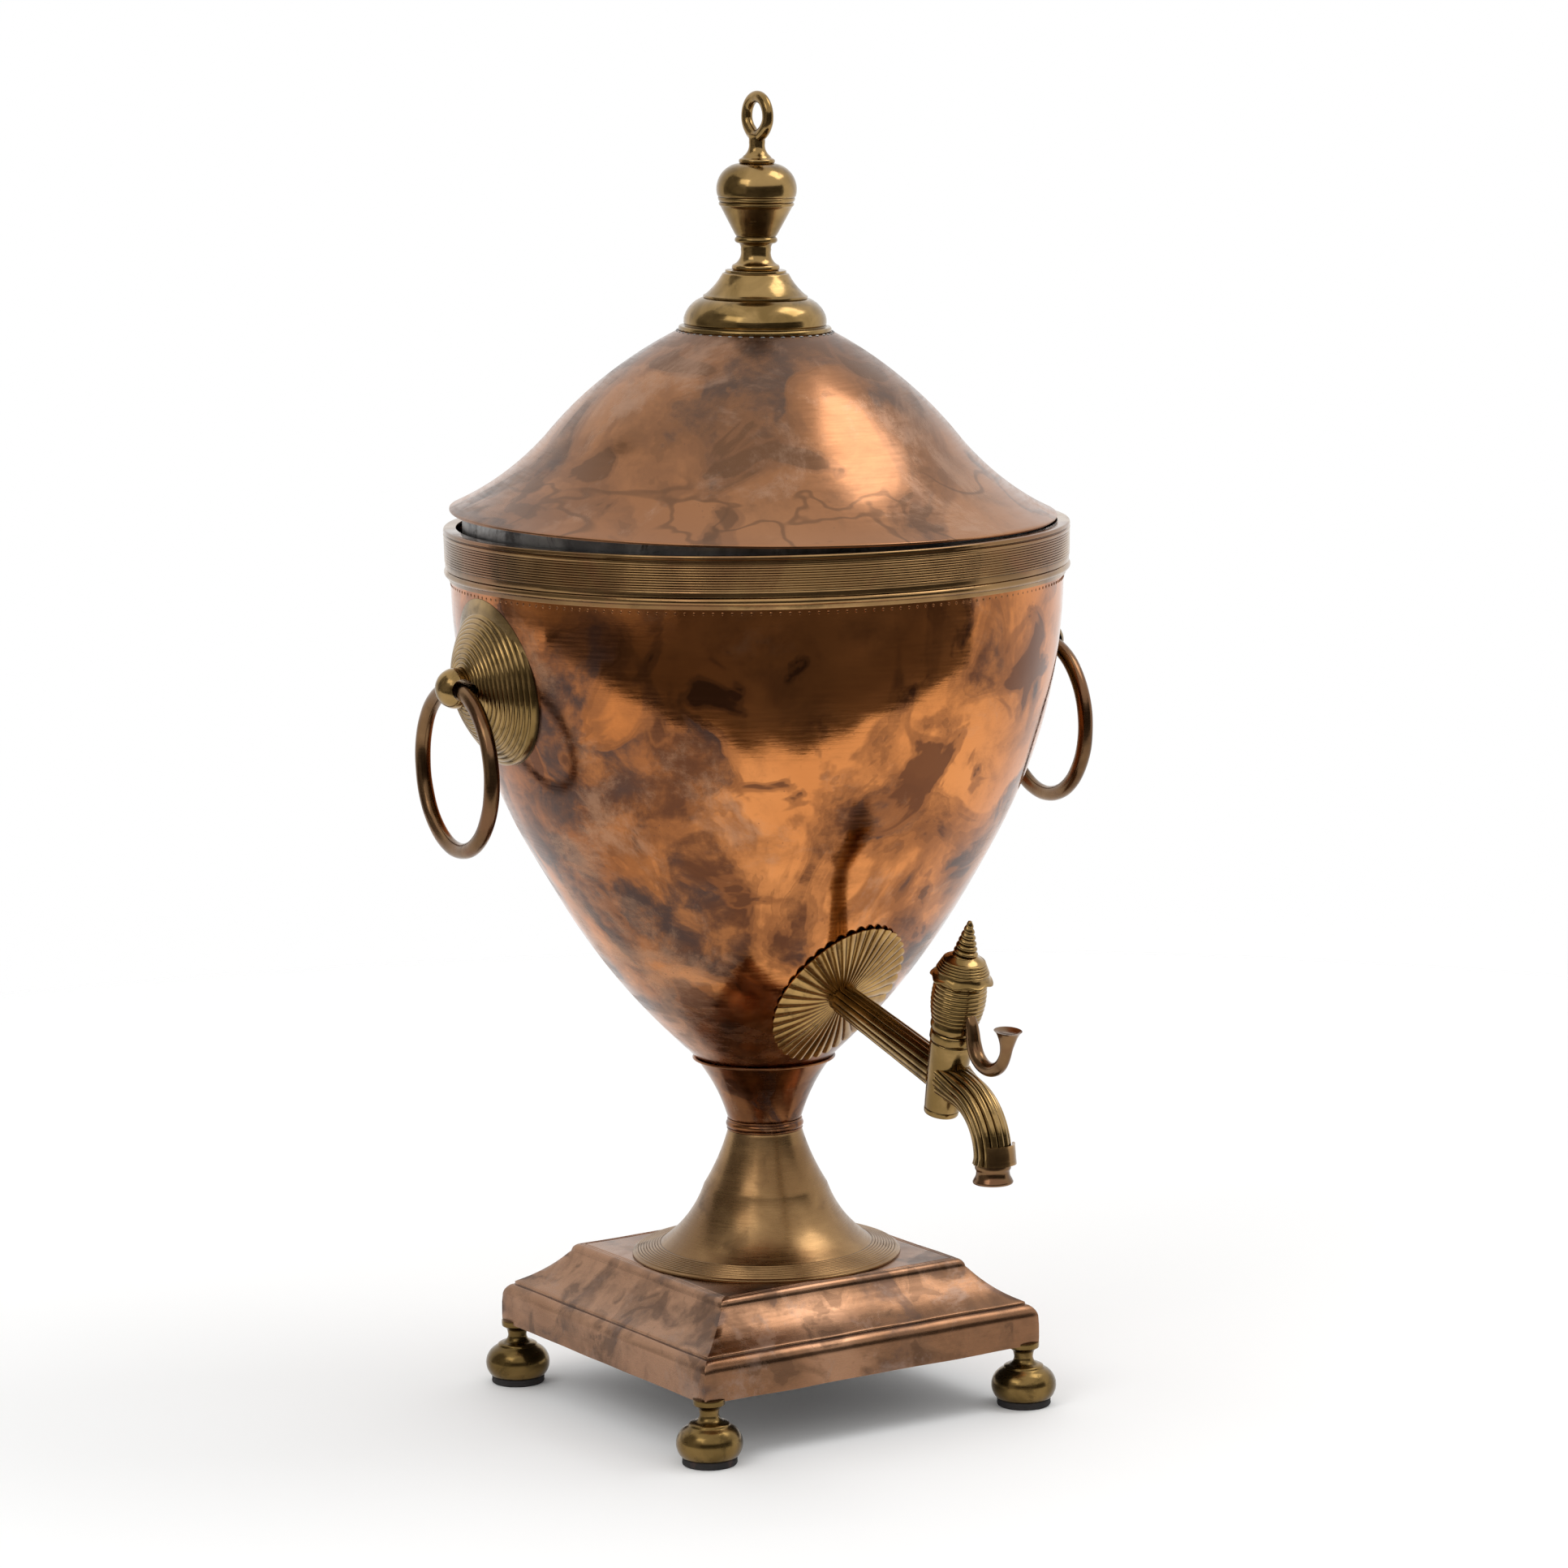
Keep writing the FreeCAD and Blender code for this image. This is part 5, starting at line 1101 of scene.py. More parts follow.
    def stem_upper(self) -> None:
        """Spun cone with a thin lip under the bowl."""
        line = Outline(14.2, 118.15).line(15.2, 118.15).arc((20.4, 131.3), (28.0, 143.4), 26)
        line.line(29.6, 143.5).line(29.7, 144.0).line(29.3, 144.45).line(26.8, 144.45)
        line.arc((19.3, 131.6), (14.2, 118.3), 10)
        piece = Piece("stem_upper").lathe(line, steps=128).dented(0.1, 16.0, 9.0)
        piece.finish(WORLD, Body.URN, Slot.COPPER, self.finishes.stem_copper, ["stem_upper"])


@dataclass(frozen=True)
class BowlSizes:
    """Bowl and rim band."""

    sheet: float = 1.2
    foot: float = 145.6
    lip: float = 363.6
    inner_foot: float = 147.0
    inner_turn: float = 148.0
    rim_reeds: int = 10
    stitch_count: int = 210
    stitch_height: float = 343.3
    stitch_reach: float = 125.0
    stitch_radius: float = 0.75


class Bowl(SubAssembly[BowlSizes]):
    """Raised copper bowl with its reeded brass rim."""

    def build(self) -> None:
        """Builds the bowl, the rim band and the row of solder stitches under it."""
        self.bowl()
        self.rim()
        self.stitches()

    def bowl(self) -> None:
        """Thin shell of revolution with the slow waves of hammer work."""
        s = self.sizes
        low, high = s.foot, s.lip

        def outside(t: float) -> Pair:
            """Outer side, upward."""
            return WALL.radius(low + (high - low) * t), low + (high - low) * t

        def inside(t: float) -> Pair:
            """Inner side, downward, a little further in where the wall slopes."""
            radius = WALL.radius(high - (high - s.inner_turn) * t) - s.sheet * 1.15
            return radius, high - (high - s.inner_foot) * t

        line = Outline(0, low - 1).line(28.6, low - 1).follow(outside, 120)
        line.line(WALL.top_radius - s.sheet, high).follow(inside, 60).line(28.0, 145.8).line(0, 145.8)
        piece = Piece("bowl").lathe(line, closed=False, steps=FINE_STEPS, soft=0.2)
        piece.dented(0.22, 34.0, 1.0)
        piece.finish(WORLD, Body.URN, Slot.COPPER, self.finishes.copper, ["bowl"])

    def rim(self) -> None:
        """Band of fine reeds between a groove above and a bead below."""
        line = Outline(125.2, 344.9).line(125.9, 344.9).line(126.2, 346.6)
        line.arc((127.8, 348.1), (126.5, 349.6), 8)
        line.line(127.2, 349.8).line(127.3, 351.6).line(127.0, 352.2)
        line.reeds(self.sizes.rim_reeds, 127.2, 362.2, 0.5).line(127.6, 362.4).line(127.8, 363.5)
        line.line(127.1, 363.9).line(127.1, 364.2).line(127.8, 364.6).line(127.7, 365.2)
        line.arc((127.5, 365.8), (126.9, 366.0), 4)
        line.line(122.6, 366.0).line(122.6, 363.8).line(125.2, 363.8)
        piece = Piece("rim_band").lathe(line, steps=FINE_STEPS, soft=0.15).dented(0.18, 60.0, 7.0)
        piece.finish(WORLD, Body.URN, Slot.WORN_BRASS, self.finishes.rim_brass, ["rim_band"])

    def stitches(self) -> None:
        """Row of small solder teeth where the band meets the bowl."""
        s = self.sizes
        piece = Piece("rim_stitches")
        for i in range(s.stitch_count):
            angle = FULL_TURN * i / s.stitch_count
            piece.bead(s.stitch_reach, angle, s.stitch_height, s.stitch_radius, (0.5, 0.75, 1.0), 1)
        piece.finish(WORLD, Body.URN, Slot.COPPER, self.finishes.stem_copper)


@dataclass(frozen=True)
class HandleSizes:
    """Beehive boss, its nose and the ring."""

    turn: float = -4.4
    tilt: float = 4.0
    reach: float = 118.2
    height: float = 309.0
    base_radius: float = 34.1
    root_radius: float = 7.7
    rise: float = 14.9
    rings: int = 14
    nose_radius: float = 8.2
    nose_centre: float = 18.4
    eye_radius: float = 4.4
    eye_height: float = 18.6
    ring_relief: float = 0.5
    foot_probe: float = 6.0
    ring_radius: float = 32.65
    wire: float = 3.15
    ring_height: float = 274.95
    ring_spot: Pair = (136.352, 10.492)


class Handles(SubAssembly[HandleSizes]):
    """Two bosses with swinging ring handles."""

    def build(self) -> None:
        """Builds both handles, each in a frame whose Z axis points out of the bowl."""
        for side, facing, body in (("left", 180.0, Body.RING_LEFT), ("right", 0.0, Body.RING_RIGHT)):
            turn = Matrix.Rotation(math.radians(facing + self.sizes.turn), 4, "Z")
            out = Matrix.Translation((self.sizes.reach, 0, self.sizes.height))
            tip = Matrix.Rotation(math.radians(90 + self.sizes.tilt), 4, "Y")
            self.boss("handle_boss_" + side, turn @ out @ tip)
            self.ring("ring_" + side, -1 if side == "left" else 1, body)

    def hive(self, share: float) -> Pair:
        """Works out a point on the boss's dome, without its rings.

        Args:
            share: Share of the way from the foot to the nose.

        Returns:
            Radius and height.
        """
        s = self.sizes
        return s.base_radius - (s.base_radius - s.root_radius) * share, s.rise * (1 - (1 - share) ** 1.6)

    def boss(self, name: str, spot: Matrix) -> None:
        """Dome of fine rings with a drilled nose, its foot let down to the bowl's wall.

        Args:
            name: Name of the boss.
            spot: Its frame on the bowl.
        """
        s = self.sizes
        line = Outline(0, 4.0).line(s.base_radius - 4, 0.6).line(s.base_radius, -0.5)

        def ringed(share: float) -> Pair:
            """Dome with its rings.

            Args:
                share: Share of the way from the foot to the nose.

            Returns:
                Radius and height.
            """
            r, w = self.hive(share)
            r2, w2 = self.hive(min(share + 0.01, 1.0))
            out = Vector((w2 - w, r - r2)).normalized() if share < 1 else Vector((1, 0))
            rise = s.ring_relief * abs(math.sin(math.pi * share * s.rings)) ** 0.8
            return r + out.x * rise, w + out.y * rise

        def nose(share: float) -> Pair:
            """Ball at the top."""
            angle = share * math.pi / 2
            return s.nose_radius * math.cos(angle), s.nose_centre + s.nose_radius * math.sin(angle)

        line.follow(ringed, s.rings * 9).arc((7.85, 16.6), (8.2, s.nose_centre), 5).follow(nose, 16)
        line.points[-1] = (0, s.nose_centre + s.nose_radius)
        piece = Piece(name).lathe(line, closed=False, steps=144, soft=0.1)
        across = Matrix.Translation((0, 0, s.eye_height)) @ Matrix.Rotation(math.pi / 2, 4, "X")
        piece.drilled(across, s.eye_radius, -14, 14, 64)
        inward = (spot.to_3x3() @ Vector((0, 0, -1))).normalized()
        for vert in piece.bm.verts:
            reach = math.hypot(vert.co.x, vert.co.y)
            if reach > s.base_radius - 4.2 and vert.co.z < 0.7:
                start = spot @ Vector((vert.co.x, vert.co.y, s.foot_probe))
                gap = 0.1 if reach > s.base_radius - 0.6 else 0.9
                vert.co.z = s.foot_probe - WALL.depth(start, inward) + gap
        piece.finish(spot, Body.URN, Slot.BRASS, self.finishes.brass, [name])

    def ring(self, name: str, side: int, body: Body) -> None:
        """Round wire ring that hangs through the nose.

        Args:
            name: Name of the ring.
            side: -1 at the left of the urn and 1 at its right.
            body: Body that it is.
        """
        s = self.sizes
        piece = Piece(name)
        made = bmesh.ops.create_circle(piece.bm, segments=28, radius=s.wire,
                                       matrix=Matrix.Translation((s.ring_radius, 0, 0))
                                       @ Matrix.Rotation(math.pi / 2, 4, "X"))["verts"]
        edges = list({e for v in made for e in v.link_edges})
        bmesh.ops.spin(piece.bm, geom=made + edges, cent=(0, 0, 0), axis=(0, 0, 1), dvec=(0, 0, 0),
                       angle=FULL_TURN, steps=144, use_merge=True, use_duplicate=False)
        bmesh.ops.remove_doubles(piece.bm, verts=piece.bm.verts, dist=0.001)
        piece.dented(0.12, 9.0, 11.0 + side)
        turn = Matrix.Rotation(math.radians(s.turn), 4, "Z") @ Matrix.Rotation(math.pi / 2, 4, "Y")
        spot = Matrix.Translation((side * s.ring_spot[0], -side * s.ring_spot[1], s.ring_height)) @ turn
        piece.finish(spot, body, Slot.WORN_BRASS, self.finishes.ring_brass, [name])


@dataclass(frozen=True)
class TapSizes:
    """Tap, in its own frame with the plug upright on Z and the spout towards -Y."""

    place: tuple[float, float, float] = (0.0, -134.0, 157.7)
    tilt: float = 15.0
    flutes: int = 14
    flute_depth: float = 0.75
    near_radius: float = 7.6
    far_radius: float = 6.4
    shank_end: float = 74.2
    tail_radius: float = 5.9
    tail_end: float = 96.0
    pleats: int = 38
    plate_wide: float = 26.6
    plate_high: float = 38.4
    plate_hole: float = 0.17
    plate_scallop: float = 0.028
    plate_probe: float = 40.0
    plate_lift: float = 0.75
    plate_least: float = 0.62
    spout_radius: float = 7.5
    spout_flute: float = 1.1
    fan_wide: float = 1.5
    fan_high: float = 3.4
    foot_swell: float = 0.6
    bend: float = 24.0
    straight: float = 14.2
    foot_height: float = 128.6
    bore: float = 4.6
    plug_room: float = 6.1
    plate_reach: float = 77.3
    plate_lean: float = 128.7
    lever_hole: float = 3.7
    grip_rings: int = 10
    grip_foot: float = 24.4
    grip_height: float = 18.55
    grip_radius: float = 9.0
    grip_swell: float = 1.75
    grip_relief: float = 0.45
    brim_waves: int = 8
    spire_foot: float = 52.4
    spire_height: float = 14.6
    spire_radius: float = 4.9
    spire_tip: float = 0.65
    spire_turns: float = 6.3
    rod: float = 2.2
    rod_swell: float = 0.85
    trumpet_start: float = 0.8
    trumpet: float = 3.4


def reed_wave(angle: float, count: int) -> float:
    """Works out how high a row of round reeds stands.

    Args:
        angle: Direction round the piece.
        count: Number of reeds.

    Returns:
        Height from 0 in a groove to 1 on a reed.
    """
    share = (angle * count / FULL_TURN) % 1.0
    return math.sqrt(max(1 - (2 * share - 1) ** 2, 0.0))


class Tap(SubAssembly[TapSizes]):
    """Fluted tap with a pleated rosette and a turning key."""

    def __init__(self, sizes: TapSizes, finishes: Finishes) -> None:
        """Places the tap's own frame and the pipe's.

        Args:
            sizes: Sizes of the tap.
            finishes: Finishes of the urn.
        """
        super().__init__(sizes, finishes)
        self.frame = Matrix.Translation(sizes.place) @ Matrix.Rotation(math.radians(sizes.tilt), 4, "X")
        self.pipe = self.frame @ Matrix.Rotation(math.radians(-90), 4, "X")

    def build(self) -> None:
        """Builds the fixed pieces and the key."""
        self.barrel()
        self.shank()
        self.rosette()
        self.spout()
        self.nozzle()
        self.head()
        self.cap()
        self.lever()

    def clear_of_plug(self, piece: Piece, turn: Matrix) -> None:
        """Cuts room for the key's plug out of a piece that joins the barrel.

        Args:
            piece: Piece to cut.
            turn: Turn from the tap's frame to the piece's.
        """
        piece.drilled(turn, self.sizes.plug_room, -30, 40, 64)

    def barrel(self) -> None:
        """Tapered barrel with a banded top and an incised line at each end."""

        def taper(w: float) -> float:
            """Radius of the barrel at a height."""
            return 6.9 + 2.1 * (w + 15.5) / 35.7

        line = Outline(5.5, -15.5).line(taper(-15.5) - 0.1, -15.5).line(taper(-14.9), -14.9)
        line.line(taper(-13.6), -13.6).line(taper(-13.4) - 0.3, -13.35).line(taper(-13.1), -13.1)
        line.line(taper(15.4), 15.4, 6).line(taper(15.7) - 0.35, 15.7).line(taper(16.0) + 0.1, 16.05)
        line.line(taper(17) + 0.35, 16.8).line(taper(19.4) + 0.1, 19.4).line(8.5, 20.15).line(5.7, 20.15)
        line.line(4.3, -12.7).line(5.5, -12.7)
        piece = Piece("tap_barrel").lathe(line, steps=128, soft=0.2).dented(0.1, 8.0, 21.0)
        piece.finish(self.frame, Body.URN, Slot.BRASS, self.finishes.brass, ["tap_barrel"])

    def shank(self) -> None:
        """Reeded pipe that tapers to the bowl, with its plain tail beyond the wall."""
        s = self.sizes
        stations = [(3.5, None)] + [(8 + (s.shank_end - 8) * i / 40, None) for i in range(41)]
        stations += [(s.shank_end + 0.05, s.tail_radius), (s.tail_end, s.tail_radius)]

        def surface(share: float, around: float) -> Vector:
            """Pipe that is reeded as far as the wall and plain beyond it.

            Args:
                share: Share of the way along.
                around: Share of the way round.

            Returns:
                Point of the surface.
            """
            along, plain = stations[round(share * (len(stations) - 1))]
            angle = FULL_TURN * around
            if plain is None:
                radius = s.near_radius + (s.far_radius - s.near_radius) * along / s.shank_end
                radius -= s.flute_depth * (1 - reed_wave(angle, s.flutes))
            else:
                radius = plain
            return Vector((radius * math.cos(angle), radius * math.sin(angle), along))

        piece = Piece("tap_shank").skin(surface, len(stations) - 1, s.flutes * 12).dented(0.08, 7.0, 23.0)
        self.clear_of_plug(piece, Matrix.Rotation(math.pi / 2, 4, "X"))
        piece.finish(self.pipe, Body.URN, Slot.BRASS, self.finishes.brass, ["tap_shank"])

    def rosette(self) -> None:
        """Thin oval plate of radial pleats that hugs the bowl, with a scalloped, lifted edge."""
        s = self.sizes
        wall_reach = s.place[1] + s.plate_reach * math.cos(math.radians(s.tilt))
        height = s.place[2] + s.plate_reach * math.sin(math.radians(s.tilt))
        facing = (Matrix.Translation((0, wall_reach, height))
                  @ Matrix.Rotation(math.radians(s.plate_lean), 4, "X"))
        inward = (facing.to_3x3() @ Vector((0, 0, -1))).normalized()

        def surface(share: float, around: float) -> Vector:
            """Pleated plate let down to the wall, bent up unevenly at its edge.

            Args:
                share: Share of the way along.
                around: Share of the way round.

            Returns:
                Point of the surface.
            """
            angle = FULL_TURN * around
            fold = abs(math.sin(angle * s.pleats / 2)) ** 0.85
            reach = s.plate_hole + (1 - s.plate_hole) * share
            scallop = 1 + s.plate_scallop * fold * share**4
            x = s.plate_wide * reach * scallop * math.cos(angle)
            y = s.plate_high * reach * scallop * math.sin(angle)
            start = facing @ Vector((x, y, s.plate_probe))
            down = WALL.depth(start, inward)
            uneven = noise.noise(Vector((math.cos(angle) * 1.3, math.sin(angle) * 1.3, 4.0)))
            lift = s.plate_lift + 0.3 * share + (0.6 + 0.9 * uneven) * max(share - 0.8, 0) * 2.4
            lift += (0.15 + 0.6 * share) * (fold - 0.5)
            return start + inward * (down - max(lift, s.plate_least))

        piece = Piece("tap_rosette").skin(surface, 26, s.pleats * 12, capped=False)
        bmesh.ops.recalc_face_normals(piece.bm, faces=piece.bm.faces)
        outside = sum((f.normal.dot(inward) for f in piece.bm.faces)) < 0
        bmesh.ops.solidify(piece.bm, geom=list(piece.bm.faces), thickness=0.5 if outside else -0.5)
        # The rosette's warm brass holds a painted reflection of the copper bowl.
        piece.finish(WORLD, Body.URN, Slot.BRASS, self.finishes.brass_with_painted_bowl_reflection, ["tap_rosette"], crease=55.0)

    def spout_course(self) -> tuple[list[tuple[Vector, Vector, float]], Vector, Vector]:
        """Lays the spout's course out of the barrel, round its bend and down.

        Returns:
            Centre, direction and share of the spread at each station, the foot, and the way down.
        """
        s = self.sizes
        sweep = math.radians(90 - s.tilt)
        corner = Vector((0, -s.straight, 0))
        centre = corner - Vector((0, 0, s.bend))
        stations = []
        for i in range(13):
            share = i / 12
            along = -3.0 - (s.straight - 3.0) * share
            spread = (1 - share) ** 1.4
            stations.append((Vector((0, along, 2.4 * spread)), Vector((0, -1, 0)), spread))
        for i in range(1, 33):
            turn = Matrix.Rotation(sweep * i / 32, 3, "X")
            stations.append((centre + turn @ (corner - centre), turn @ Vector((0, -1, 0)), 0.0))
        end, _, _ = stations[-1]
        down = Matrix.Rotation(sweep, 3, "X") @ Vector((0, -1, 0))
        drop = (self.frame @ end).z - s.foot_height
        for i in range(1, 5):
            stations.append((end + down * (drop - 0.05) * i / 4, down, 0.0))
        return stations, end + down * drop, down

    def spout(self) -> None:
        """Reeded spout that fans out over the barrel and ends in a plain patched foot."""
        s = self.sizes
        stations, foot, down = self.spout_course()
        count = len(stations)

        def surface(share: float, around: float) -> Vector:
            """Reeded pipe that is wide and tall at the barrel and swells a little at its foot.

            Args:
                share: Share of the way along.
                around: Share of the way round.

            Returns:
                Point of the surface.
            """
            index = round(share * (count - 1))
            centre, direction, spread = stations[index]
            angle = FULL_TURN * around
            side = Vector((1, 0, 0))
            up = side.cross(direction).normalized()
            last = max(0.0, (index - (count - 7)) / 6)
            wide = s.spout_radius + s.fan_wide * spread + s.foot_swell * last**2
            high = s.spout_radius + s.fan_high * spread + s.foot_swell * last**2
            lower = 1.0 - 0.8 * spread * max(0.0, -math.sin(angle))
            groove = s.spout_flute * (1 - reed_wave(angle, s.flutes)) * (1 + 0.35 * spread)
            return (centre + side * (wide - groove) * math.cos(angle)
                    + up * (high - groove) * math.sin(angle) * max(lower, 0.55))

        piece = Piece("tap_spout").skin(surface, count - 1, s.flutes * 12)
        mouth = (Matrix.Translation(foot) @ down.to_track_quat("-Z", "Y").to_matrix().to_4x4()
                 @ Matrix.Translation((0, 0, 16)))
        piece.drilled(mouth, s.bore, -30, -8, 48)
        self.clear_of_plug(piece, Matrix.Identity(4))
        piece.finish(self.frame, Body.URN, Slot.BRASS, self.finishes.brass, ["tap_spout"])
        self.patch(self.frame @ foot)

    def patch(self, foot: Vector) -> None:
        """Plain plate soldered round the front of the spout's foot.

        Args:
            foot: Middle of the foot's end.
        """
        piece = Piece("spout_patch")
        middle, half = math.radians(-78), math.radians(62)

        def surface(share: float, around: float) -> Vector:
            """Part of a cone, a little wider at its lower edge.

            Args:
                share: Share of the way along.
                around: Share of the way round.

            Returns:
                Point of the surface.
            """
            angle = middle + half * (2 * around - 1)
            height = 0.1 + 7.9 * share
            radius = 8.45 - 0.5 * share + 0.35 * max(0.0, 0.25 - share)
            return Vector((radius * math.cos(angle), radius * math.sin(angle), height))

        piece.skin(surface, 10, 30, capped=False)
        bmesh.ops.solidify(piece.bm, geom=list(piece.bm.faces), thickness=0.8)
        piece.dented(0.08, 4.0, 2.0)
        piece.finish(Matrix.Translation(foot), Body.URN, Slot.BRASS, self.finishes.rim_brass)

    def nozzle(self) -> None:
        """Turned nozzle with a waist and a flared lip."""
        _, foot, _ = self.spout_course()
        line = Outline(4.6, -7.8).line(7.5, -7.8).arc((7.95, -7.2), (7.7, -6.4), 5).line(7.5, -5.9)
        line.arc((6.75, -4.4), (6.6, -2.6), 8).line(7.1, -1.7).line(7.1, -0.15).line(4.6, -0.15)
        piece = Piece("spout_nozzle").lathe(line, soft=0.15)
        piece.finish(Matrix.Translation(self.frame @ foot), Body.URN, Slot.WORN_BRASS,
                     self.finishes.ring_brass, ["spout_nozzle"])

    def head(self) -> None:
        """Beehive grip of fine rings above a smooth lip, drilled for the lever."""
        line = Outline(3.6, 20.6).line(8.9, 20.6).line(9.25, 21.3).arc((9.45, 23.2), (9.0, 24.4), 5)
        s = self.sizes

        def ringed(share: float) -> Pair:
            """Swelling grip with its rings.

            Args:
                share: Share of the way up.

            Returns:
                Radius and height.
            """
            r = s.grip_radius + s.grip_swell * math.sin(math.pi * min(1.0, share * 0.86 + 0.02)) ** 0.8
            rise = s.grip_relief * abs(math.sin(math.pi * share * s.grip_rings)) ** 0.7
            return r + rise - 0.3, s.grip_foot + s.grip_height * share

        line.follow(ringed, s.grip_rings * 9).line(3.6, s.grip_foot + s.grip_height)
        piece = Piece("key_head").lathe(line, steps=128, soft=0.08)
        hole = Matrix.Translation((0, -6.8, 29.6)) @ Matrix.Rotation(math.radians(104), 4, "X")
        piece.drilled(hole, s.lever_hole, 0, 9, 48, 0.2)
        piece.finish(self.frame, Body.KEY, Slot.BRASS, self.finishes.brass, ["key_head"])

    def cap(self) -> None:
        """Pagoda cap: a wavy brim, a ringed roof and a spire wound with a spiral."""
        s = self.sizes
        line = Outline(0, 45.0).line(3.6, 45.0).line(3.6, 43.1).line(9.8, 43.05).line(11.9, 42.3)
        line.arc((12.35, 42.7), (12.2, 43.3), 4).arc((10.9, 44.5), (10.4, 45.6), 6)
        line.reeds(5, 7.9, 50.7, 0.42).arc((6.1, 51.6), (4.7, 52.6), 6).line(3.2, 52.9).line(0, 52.9)
        piece = Piece("key_cap").lathe(line, closed=False, steps=192, soft=0.1)

        def waved(p: Vector) -> Vector:
            """Waves the brim in and out, up and down.

            Args:
                p: Place of a point.

            Returns:
                Its move.
            """
            share = max(0.0, min(1.0, (46.5 - p.z) / 3.5)) * (1 if math.hypot(p.x, p.y) > 9 else 0)
            wave = math.cos(s.brim_waves * math.atan2(p.y, p.x))
            out = Vector((p.x, p.y, 0)).normalized() if p.xy.length > 0 else Vector()
            return out * (0.35 * wave * share) + Vector((0, 0, -0.4 * wave * share))

        piece.moved(waved)

        def spiral(share: float, around: float) -> Vector:
            """Spire with a ridge wound round it.

            Args:
                share: Share of the way along.
                around: Share of the way round.

            Returns:
                Point of the surface.
            """
            w = s.spire_foot + s.spire_height * share
            angle = FULL_TURN * around
            radius = s.spire_radius * (1 - share) ** 0.85 + s.spire_tip * share
            turn = (angle / FULL_TURN + s.spire_turns * share**0.92) % 1.0
            ridge = math.sin(math.pi * turn) ** 0.6
            radius *= 0.78 + 0.3 * ridge
            if share > 0.985:
                radius *= 0.4
            return Vector((radius * math.cos(angle), radius * math.sin(angle), w))

        piece.skin(spiral, 120, 48)
        piece.finish(self.frame, Body.KEY, Slot.BRASS, self.finishes.brass, ["key_cap"])

    def lever(self) -> None:
        """Hooked lever that thickens to its bend and opens into a trumpet."""
        s = self.sizes
        spots = [Vector((0, -out, w)) for out, w in (
            (3.9, 31.6), (7.0, 30.6), (10.2, 28.2), (12.4, 24.6), (14.2, 20.8), (17.6, 16.9),
            (22.6, 15.0), (28.0, 15.8), (32.6, 19.2), (34.9, 24.2), (35.1, 29.8), (34.4, 35.4))]

        def place(share: float) -> Vector:
            """Smooth curve through the spots.

            Args:
                share: Share of the way along.

            Returns:
                Middle of the rod there.
            """
            along = share * (len(spots) - 1)
            i = min(int(along), len(spots) - 2)
            t = along - i
            a, b, c, d = (spots[max(0, min(len(spots) - 1, i + k))] for k in (-1, 0, 1, 2))
            return 0.5 * ((2 * b) + (c - a) * t + (2 * a - 5 * b + 4 * c - d) * t * t
                          + (3 * b - a - 3 * c + d) * t**3)

        def surface(share: float, around: float) -> Vector:
            """Round rod with its swelling and its trumpet.

            Args:
                share: Share of the way along.
                around: Share of the way round.

            Returns:
                Point of the surface.
            """
            centre = place(share)
            ahead = (place(min(share + 0.01, 1.0)) - place(max(share - 0.01, 0.0))).normalized()
            side = Vector((1, 0, 0))
            up = side.cross(ahead).normalized()
            radius = s.rod + s.rod_swell * math.sin(math.pi * min(share * 1.1, 1.0)) ** 1.5
            flare = max(0.0, (share - s.trumpet_start) / (1 - s.trumpet_start))
            radius += s.trumpet * flare**2.6
            angle = FULL_TURN * around
            return centre + (side * math.cos(angle) + up * math.sin(angle)) * radius

        piece = Piece("key_lever").skin(surface, 90, 32)
        mouth = max(piece.bm.faces, key=lambda f: (len(f.verts) > 4) * f.calc_center_median().z)
        bmesh.ops.inset_individual(piece.bm, faces=[mouth], thickness=0.7, depth=0.0)
        bmesh.ops.inset_individual(piece.bm, faces=[mouth], thickness=1.2, depth=-0.7)
        piece.finish(self.frame, Body.KEY, Slot.WORN_BRASS, self.finishes.ring_brass, ["key_lever"])


@dataclass(frozen=True)
class LidSizes:
    """Lid, in its own frame with the underside of its brim at zero."""

    height: float = 370.15
    tilt: float = 1.6
    axis: float = 27.1
    shift: float = 1.5
    solder_dots: int = 46
    solder_reach: float = 31.6
    solder_height: float = 73.5
    solder_radius: float = 0.7
    knob_height: float = 98.4
    loop_height: float = 141.4
    loop_middle: float = 159.7
    loop_radius: float = 7.9
    loop_wire: float = 2.4


